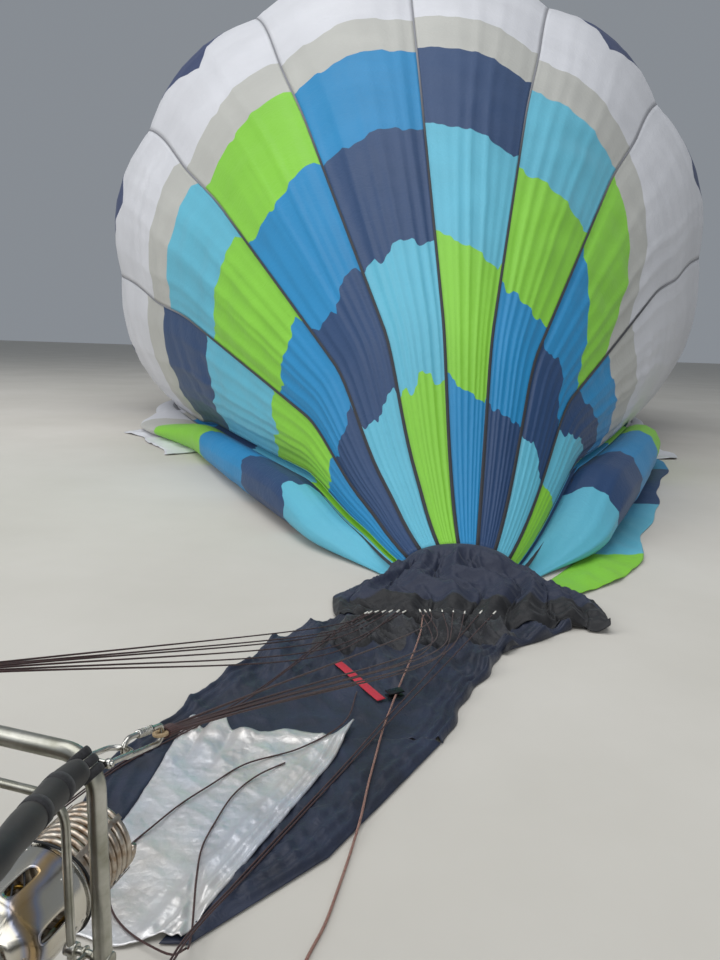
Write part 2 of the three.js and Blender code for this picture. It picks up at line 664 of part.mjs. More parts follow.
const rimPath = roundedRectangle(RIM.halfWidth, RIM.halfHeight, RIM.corner);
const rim = tubeLoop(rimPath, RIM.radius, 10, acrossAxis(BASKET.rimAt));
add(basketEnd, "basket_rim_pad", rim, finish(COLOURS.leather, 0.6, 0));

const EDGE_BAND = AXIS_HEIGHT - BASKET.halfHeight;
const floorOutline = roundedRectangle(BASKET.halfWidth + EDGE_BAND, AXIS_HEIGHT, BASKET.corner + EDGE_BAND, THREE.Shape);
const runners = [-0.62, 0, 0.62].map((share) => {
  const runner = new THREE.BoxGeometry(2 * BASKET.halfWidth - 120, 30, 60);
  runner.translate(0, wallsEnd - GAP - BASKET.floor - 12, AXIS_HEIGHT + share * BASKET.halfHeight);
  return runner;
});
const floor = fuse(alongBasket(floorOutline, BASKET.floor, wallsEnd - GAP), ...runners);
add(basketEnd, "basket_floor", floor, finish(COLOURS.wood, 0.8, 0));

// Fuel tanks stand in the two corners that are now lowest
const tankAside = BASKET.halfWidth - BASKET.wall - TANK.radius - GAP;
const tankBelow = BASKET.halfHeight - BASKET.wall - TANK.radius - GAP;
const tankFloor = wallsEnd;
const tankTop = wallsEnd + TANK.length + TANK.guard;
for (const [side, label] of [[1, "near"], [-1, "far"]]) {
  const x = side * tankAside;
  const z = AXIS_HEIGHT - tankBelow;
  const shoulder = tankFloor + TANK.length;
  const profile = [
    [0, tankFloor],
    [TANK.radius - 30, tankFloor],
    [TANK.radius, tankFloor + 40],
    [TANK.radius, shoulder - 70],
    [TANK.radius - 40, shoulder - 15],
    [TANK.neck, shoulder],
    [TANK.neck, shoulder + TANK.guard],
    [0, shoulder + TANK.guard],
  ];
  add(basketEnd, `fuel_tank_${label}`, turnedAlongY(profile, 20, x, z), metal(COLOURS.aluminium));
}

// Padded poles carry the burner frame: from each corner of the frame down inside the rim pad
const frameCorner = FRAME_HALF - FRAME_BEND * (1 - Math.SQRT1_2);
const rimInside = RIM.corner - RIM.radius;
const poleOff = (rimInside - SLEEVE - GAP) * Math.SQRT1_2;
const poleFoot = {
  x: RIM.halfWidth - RIM.corner + poleOff,
  z: RIM.halfHeight - RIM.corner + poleOff,
};
const CORNERS = [
  { label: "near_top", x: 1, z: 1, seat: 0.6 },
  { label: "far_top", x: -1, z: 1, seat: 0.6 },
  { label: "near_bottom", x: 1, z: -1, seat: 0.6 },
  { label: "far_bottom", x: -1, z: -1, seat: -0.2 },
];
const frameBack = FRAME_TUBE * Math.cos(Math.PI / FRAME_SIDES);
for (const corner of CORNERS) {
  const place = (x, y, z) => vec(corner.x * x, y, AXIS_HEIGHT + corner.z * z);
  const route = [
    place(frameCorner, -frameBack - GAP, frameCorner),
    place(frameCorner, -60, frameCorner),
    place(poleFoot.x - 12, BASKET.rimAt + 150, poleFoot.z - 6),
    place(poleFoot.x, BASKET.rimAt + RIM.radius, poleFoot.z),
    place(poleFoot.x, BASKET.rimAt - RIM.radius, poleFoot.z),
    place(poleFoot.x, BASKET.rimAt - 200, poleFoot.z),
  ];
  add(basketEnd, `padded_pole_${corner.label}`, rod(route, SLEEVE, 8, 9), finish(COLOURS.black, 0.7, 0));
}

// Fuel hoses: from each burner block out past the frame, then back into the basket to the tank's valve
const HOSE = 10;
for (const [side, label] of [[1, "near"], [-1, "far"]]) {
  const place = (x, y, z) => vec(side * x, y, AXIS_HEIGHT + z);
  const route = [
    place(BURNER.aside + BURNER.block + GAP, blockMiddle, 45),
    place(BURNER.aside + BURNER.block + 50, blockMiddle, 46),
    place(345, -112, 48),
    place(400, -95, 46),
    place(452, -85, 25),
    place(486, -95, -50),
    place(492, -140, -150),
    place(498, -260, -265),
    place(490, -450, -345),
    place(474, -700, -375),
    place(460, -900, -360),
    place(tankAside, -1040, -tankBelow),
    place(tankAside, tankTop + GAP, -tankBelow),
  ];
  add(basketEnd, `fuel_hose_${label}`, rod(route, HOSE, 8, 26), finish(COLOURS.black, 0.5, 0));
}

// Corner links: a bow shackle and a long carabiner chained between the frame and the suspension lines
const LINK = { rod: 5, halfLength: 42, halfWidth: 24, clipHalfLength: 62, clipHalfWidth: 17 };
const KNOT = 14;
basketEnd.updateMatrixWorld(true);
const inBalloon = (point) => point.clone().applyMatrix4(basketEnd.matrixWorld);

function chainLoop(centre, along, aside, halfLength, halfWidth) {
  const path = roundedRectangle(halfLength, halfWidth, halfWidth - 0.5);
  const up = along.clone().cross(aside);
  const place = (x, y, off) =>
    centre.clone().addScaledVector(along, x).addScaledVector(aside, y).addScaledVector(up, off);
  return tubeLoop(path, LINK.rod, 6, place, 1);
}

// Suspension lines: what they pass on the way from each corner's knot to the mouth band
const LINES = {
  near_top: [
    [[-288, -726, 140], [-270, -453, 100]],
    [[-310, -1024, 140], [-330, -453, 98]],
    [[-231, -992, 140], [-200, -453, 103]],
    [[-255, -1116, 140], [-130, -453, 105]],
  ],
  far_top: [
    [[-740, -743, 120], [-560, -452, 82]],
    [[-769, -871, 120], [-520, -453, 86]],
    [[-777, -951, 120], [-480, -453, 89]],
    [[-771, -1112, 120], [-440, -453, 92]],
  ],
  near_bottom: [
    [[-1125, -2874, 80], [-1019, -2557, 27], [-703, -1905, 25], [-557, -1620, 42], [-368, -1250, 50], [40, -453, 105]],
    [[-1117, -2877, 80], [-980, -2500, 26], [-660, -1850, 25], [-560, -1670, 38], [-300, -1200, 54], [120, -453, 104]],
  ],
  far_bottom: [
    [[-1594, -2038, 22], [-1491, -1863, 24], [-1336, -1677, 26], [-1127, -1378, 38], [-800, -780, 86], [-622, -453, 75]],
    [[-1560, -2000, 22], [-1410, -1790, 24], [-1195, -1525, 35], [-1010, -1200, 56], [-740, -700, 86], [-600, -453, 77]],
  ],
};
const LINE = { radius: 3, apart: 6.5, step: 160 };
for (const corner of CORNERS) {
  const lines = LINES[corner.label].map((line) => line.map(([x, y, z]) => vec(x, y, z)));
  const hook = inBalloon(vec(corner.x * frameCorner, 0, AXIS_HEIGHT + corner.z * frameCorner));
  const along = lines[0][0].clone().sub(hook).normalize();
  const aside = vec(0, 0, 1).cross(along).normalize();
  const up = along.clone().cross(aside);
  const shackleAt = FRAME_TUBE + corner.seat + LINK.rod + LINK.halfLength;
  const clipAt = shackleAt + LINK.halfLength + LINK.clipHalfLength - LINK.rod;
  const at = (reach) => hook.clone().addScaledVector(along, reach);
  const shackle = chainLoop(at(shackleAt), along, aside, LINK.halfLength, LINK.halfWidth);
  const clip = chainLoop(at(clipAt), along, up, LINK.clipHalfLength, LINK.clipHalfWidth);
  add(rigging, `corner_links_${corner.label}`, fuse(shackle, clip), metal(COLOURS.steel));
  const gathered = at(clipAt + LINK.clipHalfLength + LINK.rod + KNOT - GAP);
  const knot = new THREE.IcosahedronGeometry(KNOT, 1);
  knot.translate(gathered.x, gathered.y, gathered.z);
  const leans = (line) => line[0].clone().sub(gathered).normalize().dot(aside);
  const rods = lines.sort((a, b) => leans(a) - leans(b)).map((line, i) => {
    const start = gathered.clone().addScaledVector(aside, (i - (lines.length - 1) / 2) * LINE.apart);
    const steps = Math.ceil(start.distanceTo(line.at(-1)) / LINE.step);
    return rod([start, ...line], LINE.radius, 6, steps, "centripetal");
  });
  add(rigging, `suspension_lines_${corner.label}`, fuse(knot, ...rods), cloth(COLOURS.line));
}

// Free lines: the crown line of the vent and two slack lines that lie over the scoop and the ground
const FREE_LINES = {
  vent_line: {
    radius: 4.5,
    colour: COLOURS.rope,
    steps: 34,
    route: [
      [-300, -453, 62],
      [-318, -560, 90],
      [-345, -760, 86],
      [-400, -1000, 64],
      [-480, -1300, 44],
      [-570, -1676, 23],
      [-602, -1865, 20],
      [-634, -2063, 20],
      [-662, -2262, 20],
      [-693, -2411, 6],
      [-726, -2564, 5],
      [-758, -2698, 5],
      [-803, -2827, 5],
      [-830, -2960, 5],
      [-880, -3120, 6],
      [-940, -3290, 14],
      [-1000, -3430, 52],
      [-1042, -3540, 100],
    ],
  },
  slack_line_long: {
    radius: 3,
    colour: COLOURS.line,
    steps: 26,
    route: [
      [-682, -1366, 31],
      [-734, -1637, 28],
      [-903, -1833, 20],
      [-1102, -1955, 19],
      [-1206, -2094, 19],
      [-1286, -2208, 18],
      [-1352, -2337, 18],
      [-1391, -2421, 18],
      [-1411, -2511, 17],
      [-1393, -2613, 17],
      [-1351, -2694, 17],
      [-1290, -2755, 16],
      [-1216, -2802, 18],
      [-1150, -2830, 20],
      [-1108, -2850, 60],
    ],
  },
  slack_line_short: {
    radius: 3,
    colour: COLOURS.line,
    steps: 18,
    route: [
      [-952, -1933, 17],
      [-1043, -2023, 19],
      [-1111, -2142, 19],
      [-1147, -2297, 18],
      [-1163, -2420, 18],
      [-1149, -2562, 17],
      [-1132, -2663, 17],
      [-1118, -2748, 17],
      [-1112, -2800, 24],
      [-1106, -2840, 50],
    ],
  },
};
for (const [name, line] of Object.entries(FREE_LINES)) {
  const route = line.route.map(([x, y, z]) => vec(x, y, z));
  add(rigging, name, rod(route, line.radius, 8, line.steps), cloth(line.colour));
}

// The origin is on the ground under the middle of everything
const bounds = new THREE.Box3().setFromObject(balloon);
const middle = bounds.getCenter(new THREE.Vector3());
balloon.position.set(-middle.x, -middle.y, 0);
export default balloon;
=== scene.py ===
import math

import bmesh
import bpy
import numpy as np
from mathutils import Matrix, Vector


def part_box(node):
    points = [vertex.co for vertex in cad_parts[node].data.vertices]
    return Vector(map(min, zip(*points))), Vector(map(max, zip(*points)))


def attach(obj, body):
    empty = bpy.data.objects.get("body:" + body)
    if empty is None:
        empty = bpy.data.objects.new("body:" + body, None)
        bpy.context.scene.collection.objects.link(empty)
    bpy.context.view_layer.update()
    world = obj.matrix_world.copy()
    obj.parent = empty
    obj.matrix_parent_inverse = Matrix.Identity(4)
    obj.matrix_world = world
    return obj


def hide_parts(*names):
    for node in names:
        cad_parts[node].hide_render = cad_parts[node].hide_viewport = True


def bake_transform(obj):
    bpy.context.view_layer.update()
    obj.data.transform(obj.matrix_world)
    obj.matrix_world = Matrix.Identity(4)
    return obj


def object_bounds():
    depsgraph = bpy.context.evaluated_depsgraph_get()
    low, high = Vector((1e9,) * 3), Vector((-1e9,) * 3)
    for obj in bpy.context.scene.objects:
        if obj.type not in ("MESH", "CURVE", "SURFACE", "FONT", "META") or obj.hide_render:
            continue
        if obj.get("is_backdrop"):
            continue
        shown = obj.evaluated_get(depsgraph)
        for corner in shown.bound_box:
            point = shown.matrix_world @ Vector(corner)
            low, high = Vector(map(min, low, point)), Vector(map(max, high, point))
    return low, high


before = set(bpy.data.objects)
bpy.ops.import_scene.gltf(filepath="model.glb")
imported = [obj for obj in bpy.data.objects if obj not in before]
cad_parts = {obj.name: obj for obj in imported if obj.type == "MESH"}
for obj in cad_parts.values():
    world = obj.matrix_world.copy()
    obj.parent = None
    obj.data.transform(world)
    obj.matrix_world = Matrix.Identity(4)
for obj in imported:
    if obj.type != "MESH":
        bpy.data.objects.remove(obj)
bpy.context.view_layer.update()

# Camera: it stands at eye height behind the burners and looks along the envelope.
# Places are measured from the middle of the mouth, which the mouth band and the crown ring give.
CROWN_DRIFT = 0.186
MOUTH_DEPTH = 0.45
crown_low, crown_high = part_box("crown_ring")
mouth_low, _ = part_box("mouth_band")
MOUTH = Vector(((crown_low[0] + crown_high[0]) / 2 - CROWN_DRIFT, mouth_low[1] + MOUTH_DEPTH, 0))

EYE = Vector((-0.70, -4.45, 1.60))
PITCH = math.radians(10.6)
ROLL = math.radians(1.867)
FOCAL_PIXELS = 721.0
PHOTO_HEIGHT = 960.0
SENSOR = 36.0
FAR_CLIP = 200

camera_data = bpy.data.cameras.new("photo_camera")
camera_data.sensor_width = SENSOR
camera_data.lens = FOCAL_PIXELS * SENSOR / PHOTO_HEIGHT
camera = bpy.data.objects.new("photo_camera", camera_data)
bpy.context.collection.objects.link(camera)
ahead = Vector((0, math.cos(PITCH), -math.sin(PITCH)))
level = Vector((1, 0, 0))
above = level.cross(ahead)
right = level * math.cos(ROLL) + above * math.sin(ROLL)
up = above * math.cos(ROLL) - level * math.sin(ROLL)
camera.matrix_world = Matrix.Translation(MOUTH + EYE) @ Matrix((right, up, -ahead)).transposed().to_4x4()
camera_data.clip_end = FAR_CLIP
bpy.context.scene.camera = camera


# Floor and light: a plain pale floor under a soft sky, with broad softboxes overhead, on the left and in
# front. Every finish in this file is made as the floor's is: one shader, with nodes added one at a time.
FLOOR_SIZE = 160
FLOOR_DROP = 0.002
SKY = {"colour": 0xDCE4EE, "strength": 0.34}
LIT_AT = Vector((0, 0, 2))


def srgb(value):
    """A colour written as an sRGB hex number, made linear."""
    channels = [(value >> shift & 255) / 255 for shift in (16, 8, 0)]
    linear = [c / 12.92 if c <= 0.04045 else ((c + 0.055) / 1.055) ** 2.4 for c in channels]
    return (*linear, 1.0)


def add_node(tree, kind, inputs=None, stops=(), to=None, **settings):
    """A node: settings, values or links of its inputs, a ramp's colour stops, and the input that it feeds."""
    made = tree.nodes.new(kind)
    for name, value in settings.items():
        setattr(made, name, value)
    for name, value in (inputs or {}).items():
        if isinstance(value, bpy.types.NodeSocket):
            tree.links.new(value, made.inputs[name])
        else:
            made.inputs[name].default_value = value
    for i, (position, colour) in enumerate(stops):
        elements = made.color_ramp.elements
        stop = elements[i] if i < len(elements) else elements.new(position)
        stop.position = position
        stop.color = srgb(colour)
    if to is not None:
        tree.links.new(next(output for output in made.outputs if output.enabled), to)
    return made


def new_finish(name, colour, roughness, metallic=0.0, **sockets):
    """A material with one Principled shader: its name, its tree and its shader."""
    material = bpy.data.materials.new(name)
    material.use_nodes = True
    tree = material.node_tree
    shader = tree.nodes["Principled BSDF"]
    shader.inputs["Base Color"].default_value = srgb(colour)
    shader.inputs["Roughness"].default_value = roughness
    shader.inputs["Metallic"].default_value = metallic
    for socket, value in sockets.items():
        shader.inputs[socket.replace("_", " ")].default_value = value
    return material, tree, shader


def mottle(tree, shader, colour_a, colour_b, size, bump=0, rough=None):
    """Colour that wanders between two hues over patches of a size in mm, with a bump of a depth in mm."""
    place = add_node(tree, "ShaderNodeTexCoord").outputs["Object"]
    patches = {"Vector": place, "Scale": 1000 / size, "Detail": 5.0, "Roughness": 0.6}
    noise = add_node(tree, "ShaderNodeTexNoise", patches).outputs["Fac"]
    stops = [(0.35, colour_a), (0.68, colour_b)]
    ramp = add_node(tree, "ShaderNodeValToRGB", {"Fac": noise}, stops, shader.inputs["Base Color"])
    if bump:
        relief = {"Height": noise, "Distance": bump / 1000, "Strength": 0.8}
        add_node(tree, "ShaderNodeBump", relief, to=shader.inputs["Normal"])
    if rough:
        spread = {"Value": noise, "To Min": rough[0], "To Max": rough[1]}
        add_node(tree, "ShaderNodeMapRange", spread, to=shader.inputs["Roughness"])
    return place, ramp.outputs["Color"]


# Painted floor: a matt coat that is a little uneven over patches of 2.5 m
def stage_floor():
    floor = bmesh.new()
    bmesh.ops.create_grid(floor, x_segments=1, y_segments=1, size=FLOOR_SIZE)
    mesh = bpy.data.meshes.new("floor")
    floor.to_mesh(mesh)
    floor.free()
    piece = bpy.data.objects.new("floor", mesh)
    bpy.context.collection.objects.link(piece)
    material, tree, shader = new_finish("pale_floor", 0xCFCBC2, 0.9)
    mottle(tree, shader, 0xC6C2B9, 0xCFCBC3, 2500)
    mesh.materials.append(material)
    piece.location.z = -FLOOR_DROP
    piece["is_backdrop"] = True


stage_floor()

world = bpy.data.worlds.new("soft_sky")
bpy.context.scene.world = world
world.use_nodes = True
world.node_tree.nodes["Background"].inputs["Color"].default_value = srgb(SKY["colour"])
world.node_tree.nodes["Background"].inputs["Strength"].default_value = SKY["strength"]
bpy.context.scene.view_settings.view_transform = "Standard"

SOFTBOXES = {
    "overhead": {"at": (-4, -6, 26), "size": 26, "power": 4300},
    "left": {"at": (-26, -12, 14), "size": 18, "power": 3000},
    "front": {"at": (6, -34, 16), "size": 20, "power": 2300},
}
for name, box in SOFTBOXES.items():
    light_data = bpy.data.lights.new(name, "AREA")
    light_data.size = box["size"]
    light_data.energy = box["power"]
    light = bpy.data.objects.new(name, light_data)
    light.location = box["at"]
    light.rotation_euler = (LIT_AT - light.location).to_track_quat("-Z", "Y").to_euler()
    bpy.context.collection.objects.link(light)

# Free lines: a braided polyester vent rope and two slack aramid lines, which lie over the scoop and the
# ground and go back into the burner end. Their points repeat the solids' own, in mm from the mouth's middle.
MERGED = 1e-6
NEARLY_ALONG = 0.95
CORD_STEP = 0.02


def new_piece(name, shape, material, body="balloon", place=None):
    """A bmesh, carried to its place and finished as an object that rides on a body."""
    if place is not None:
        bmesh.ops.transform(shape, matrix=place, verts=shape.verts)
    mesh = bpy.data.meshes.new(name)
    shape.to_mesh(mesh)
    shape.free()
    mesh.materials.append(material)
    mesh.shade_smooth()
    piece = bpy.data.objects.new(name, mesh)
    bpy.context.collection.objects.link(piece)
    if body:
        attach(piece, body)
    return piece


def grid_sheet(columns, rows, surface, shape=None):
    """A grid carried to surface(u, v), which gives points and UVs. It is added to a bmesh if one is given."""
    shape = shape or bmesh.new()
    layer = shape.loops.layers.uv.get("cloth") or shape.loops.layers.uv.new("cloth")
    made = bmesh.ops.create_grid(shape, x_segments=columns, y_segments=rows, size=1)["verts"]
    flat = np.array([v.co for v in made])
    points, uvs = surface((flat[:, 0] + 1) / 2, (flat[:, 1] + 1) / 2)
    uv_of = {}
    for vertex, point, uv in zip(made, points, uvs):
        vertex.co = point
        uv_of[vertex] = uv
    for face in {face for vertex in made for face in vertex.link_faces}:
        for corner in face.loops:
            corner[layer].uv = uv_of[corner.vert]
    return shape, made


def unit(vectors):
    return vectors / np.maximum(np.linalg.norm(vectors, axis=-1, keepdims=True), 1e-9)


def run_along(path):
    """How far along a path each of its points lies."""
    return np.concatenate([[0], np.cumsum(np.linalg.norm(np.diff(path, axis=0), axis=1))])


def smooth_path(points, step):
    """Points about a step apart on a centripetal curve through the given points."""
    given = np.array(points, float)
    given = np.vstack([2 * given[0] - given[1], given, 2 * given[-1] - given[-2]])
    path = []
    for i in range(1, len(given) - 2):
        a, b, c, d = given[i - 1 : i + 3]
        k1 = math.sqrt(np.linalg.norm(b - a))
        k2 = k1 + math.sqrt(np.linalg.norm(c - b))
        k3 = k2 + math.sqrt(np.linalg.norm(d - c))
        count = max(2, math.ceil(np.linalg.norm(c - b) / step))
        for t in np.linspace(k1, k2, count, endpoint=False):
            ab = a + (b - a) * t / k1
            bc = b + (c - b) * (t - k1) / (k2 - k1)
            cd = c + (d - c) * (t - k2) / (k3 - k2)
            abc = ab + (bc - ab) * t / k2
            bcd = bc + (cd - bc) * (t - k1) / (k3 - k1)
            path.append(abc + (bcd - abc) * (t - k1) / (k2 - k1))
    path.append(given[-2])
    return np.array(path)


def rod(path, radius, sides=10, closed=False, flat=1.0, start=(0, 0, 1)):
    """A round rod swept along a path. flat squeezes its section; radius is one value or one for each point."""
    path = np.array(path, float)
    if closed:
        path = np.vstack([path, path[:1]])
    steps = np.diff(path, axis=0)
    before, after = (steps[-1:], steps[:1]) if closed else (steps[:1], steps[-1:])
    along = unit(np.vstack([before, steps]) + np.vstack([steps, after]))
    side = np.array(start, float)
    if abs(unit(side) @ along[0]) > NEARLY_ALONG:
        side = np.array([1.0, 0, 0])
    sides_out = []
    for direction in along:
        side = unit(side - direction * (side @ direction))
        sides_out.append(side)
    side = np.array(sides_out)
    other = np.cross(along, side)
    reach = run_along(path)
    radii = np.array(radius) if np.ndim(radius) else np.full(len(path), radius)
    if closed and np.ndim(radius):
        radii = np.append(radii, radii[0])

    def surface(u, v):
        row = np.round(v * (len(path) - 1)).astype(int)
        angle = 2 * math.pi * u
        out = side[row] * (np.cos(angle) * radii[row])[:, None]
        out += other[row] * (np.sin(angle) * radii[row] * flat)[:, None]
        return path[row] + out, np.stack([u, reach[row]], axis=-1)

    shape, made = grid_sheet(sides, len(path) - 1, surface)
    bmesh.ops.remove_doubles(shape, verts=made, dist=MERGED)
    if not closed:
        bmesh.ops.holes_fill(shape, edges=[edge for edge in shape.edges if edge.is_boundary])
    bmesh.ops.recalc_face_normals(shape, faces=shape.faces)
    return shape


def at_mouth(x, y, z):
    """A place in millimetres from the middle of the mouth, in metres in the frame."""
    return np.array([MOUTH.x + x / 1000, MOUTH.y + y / 1000, z / 1000])


FREE_LINES = {
    "vent_line": {
        "diameter": 0.009,
        "route": [
            (-300, -453, 62), (-318, -560, 90), (-345, -760, 86), (-400, -1000, 64), (-480, -1300, 44),
            (-570, -1676, 23), (-602, -1865, 20), (-634, -2063, 20), (-662, -2262, 20), (-693, -2411, 6),
            (-726, -2564, 5), (-758, -2698, 5), (-803, -2827, 5), (-830, -2960, 5), (-880, -3120, 6),
            (-940, -3290, 14), (-1000, -3430, 52), (-1042, -3540, 100),
        ],
    },
    "slack_line_long": {
        "diameter": 0.006,
        "route": [
            (-682, -1366, 31), (-734, -1637, 28), (-903, -1833, 20), (-1102, -1955, 19), (-1206, -2094, 19),
            (-1286, -2208, 18), (-1352, -2337, 18), (-1391, -2421, 18), (-1411, -2511, 17), (-1393, -2613, 17),
            (-1351, -2694, 17), (-1290, -2755, 16), (-1216, -2802, 18), (-1150, -2830, 20), (-1108, -2850, 60),
        ],
    },
    "slack_line_short": {
        "diameter": 0.006,
        "route": [
            (-952, -1933, 17), (-1043, -2023, 19), (-1111, -2142, 19), (-1147, -2297, 18), (-1163, -2420, 18),
            (-1149, -2562, 17), (-1132, -2663, 17), (-1118, -2748, 17), (-1112, -2800, 24), (-1106, -2840, 50),
        ],
    },
}


# Braided cord: strands cross at a slant every 11 mm, drawn coarser than life so that they show, and a fleck of
# another colour is worked in at every other crossing. The fibre is dull, with a slight sheen.
BRAID = {"across": 4.0, "along": 90.0, "gap": 0.06, "depth": 0.0006}


def braided_line(name, colour, fleck):
    material, tree, shader = new_finish(name, colour, 0.7, Sheen_Weight=0.15)
    uv = add_node(tree, "ShaderNodeUVMap", uv_map="cloth").outputs["UV"]
    slant = {"Vector": uv, "Scale": (BRAID["across"], BRAID["along"], 1.0)}
    stretch = add_node(tree, "ShaderNodeMapping", slant).outputs["Vector"]
    # The mortar colour is painted shade: near black in the sunken gaps between strands.
    strands = {"Vector": stretch, "Color1": srgb(colour), "Color2": srgb(fleck), "Scale": 1.0,
               "Mortar": srgb(0x120A0A), "Mortar Size": BRAID["gap"]}
    check = add_node(tree, "ShaderNodeTexBrick", strands, to=shader.inputs["Base Color"], offset=0.5)
    relief = {"Height": check.outputs["Fac"], "Distance": -BRAID["depth"], "Strength": 0.8}
    add_node(tree, "ShaderNodeBump", relief, to=shader.inputs["Normal"])
    return material


aramid_line = braided_line("braided_aramid_line", 0x4A2226, 0x6B3A34)
polyester_rope = braided_line("braided_polyester_rope", 0xC98474, 0xE3B6A2)
line_points = []
for name, line in FREE_LINES.items():
    path = smooth_path([at_mouth(*point) for point in line["route"]], CORD_STEP)
    finish = polyester_rope if name == "vent_line" else aramid_line
    cord = new_piece(f"{name}_cord", rod(path, line["diameter"] / 2), finish)
    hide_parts(name)
    line_points.append((path, line["diameter"] / 2))


# Envelope: sixteen gores of coated ripstop nylon, sewn from rows of coloured cloth between the load tapes.
# It lies half deflated, so every gore bulges between its tapes and is gathered towards the mouth.
GORES = 16
EQUATOR_AT = 13.0
CROWN_AT = 19.6
CROWN_HEIGHT = 4.6
MOUTH_END = 0.35
TOP_RISE = (0.251, 0.812, 8.95)
SIDE_RISE = (0.200, 0.531, 6.30)
WIDEST_SHARE = 0.38
FOOT_SHARE = 0.78
BULGE_SHARE = 0.13
TUCK_DEPTH = 0.12
TUCK_MOUTH = 0.07
VENT_EDGE = 72
VENT_SEAT = 66
CREASE = 127
WALL_SEAMS = {1: -96, 2: -64, 3: -33, 4: -3, 5: 25, 6: 54, 7: 88}
CROWN_FIRST_SEAM = -93
ROLL_START = math.radians(125)
ROLL_END = math.radians(-90)
ROLLS_AT = [0, 1, 2, 5.5, 7.8, 10.5, 13]
ROLL_SIZES = {
    -1: {
        "width": [0.19, 0.23, 0.23, 0.25, 0.62, 0.26, 0.18],
        "height": [0.06, 0.16, 0.22, 0.21, 0.11, 0.11, 0.11],
    },
    1: {
        "width": [0.21, 0.32, 0.33, 0.33, 0.26, 0.18, 0.18],
        "height": [0.07, 0.23, 0.32, 0.32, 0.18, 0.12, 0.11],
    },
}


def smoothstep(value, low, high):
    share = np.clip((value - low) / (high - low), 0, 1)
    return share * share * (3 - 2 * share)


def mixed(a, b, share):
    return a + (b - a) * share


def rising(y, rise):
    start, slope, end = rise
    bend_at = 2 * (end - start) / slope - EQUATOR_AT
    rounded = end - slope / (2 * (EQUATOR_AT - bend_at)) * (EQUATOR_AT - y) ** 2
    return np.where(y < bend_at, start + slope * y, rounded)


def crown_station(degrees):
    return EQUATOR_AT + (CROWN_AT - EQUATOR_AT) * (degrees / 90)


def section(y):
    """The standing wall's height, half width, widest height, lower radius, drift and foot angle."""
    at = np.minimum(y, EQUATOR_AT)
    top = rising(at, TOP_RISE)
    half = rising(at, SIDE_RISE)
    widest = WIDEST_SHARE * top
    below = widest / math.sqrt(1 - FOOT_SHARE**2)
    drift = CROWN_DRIFT * (at / EQUATOR_AT)
    return top, half, widest, below, drift, math.acos(-math.sqrt(1 - FOOT_SHARE**2))


def wall_point(shape, angle):
    top, half, widest, below, drift, foot_angle = shape
    turn = np.abs(angle)
    inward = (math.pi - turn) / (math.pi - foot_angle)
    reach = np.where(turn < math.pi / 2, top - widest, below)
    on_floor = turn > foot_angle
    x = np.where(on_floor, drift + np.sign(angle) * FOOT_SHARE * half * inward, drift + half * np.sin(angle))
    z = np.where(on_floor, 0, widest + reach * np.cos(angle))
    return np.stack([x, z])


def roll_size(y, side, key):
    at = np.clip(y, 0, EQUATOR_AT)
    sizes = ROLL_SIZES[side][key]
    size = np.full_like(at, sizes[0])
    for i in range(len(ROLLS_AT) - 1):
        share = smoothstep(at, ROLLS_AT[i], ROLLS_AT[i + 1])
        size = np.where(at >= ROLLS_AT[i], mixed(sizes[i], sizes[i + 1], share), size)
    return size


def foot(y, side):
    """Angle and height of the crease above a roll, and the roll's middle."""
    shape = section(y)
    height = roll_size(y, side, "height") * (1 + math.sin(ROLL_START))
    tuck = np.minimum(TUCK_MOUTH, 0.1 * shape[0])
    angle = np.arccos(np.clip((height + tuck - shape[2]) / shape[3], -1, 0))
    upper = wall_point(shape, side * angle)
    middle = upper[0] - side * roll_size(y, side, "width") * math.cos(ROLL_START)
    return angle, upper, upper - np.stack([np.zeros_like(tuck), tuck]), middle, tuck


def lying_seam(i, y):
    left, right_foot = foot(y, -1), foot(y, 1)
    if i in WALL_SEAMS:
        side = left if i < 5 else right_foot
        return wall_point(section(y), WALL_SEAMS[i] / CREASE * side[0])
    if i == 0:
        return left[1]
    if i == 8:
        return right_foot[1]
    if i == 9:
        tuck = np.minimum(TUCK_DEPTH, 0.25 * section(y)[1])
        return right_foot[1] - np.stack([tuck, right_foot[4] / 2])
    if i == 10:
        return right_foot[2]
    if i == 15:
        return left[2]
    share = (i - 11) / 3
    return np.stack([mixed(right_foot[3], left[3], share), np.zeros_like(y)])


def flat_seam(i, y, opened):
    degrees = (CROWN_FIRST_SEAM + 360 / GORES * (i % GORES) + 180) % 360 - 180
    full = np.full_like(y, EQUATOR_AT)
    crown = wall_point(section(full), np.full_like(y, math.radians(degrees)))
    return mixed(lying_seam(i % GORES, y), crown, opened)


ROLL_GORES = {10: 1, 14: -1}
FOLDED_GORE = 15
MOUTH_SLUMP = 0.52
SLUMP_TO = 2.0
SLOPE_STEP = 0.02


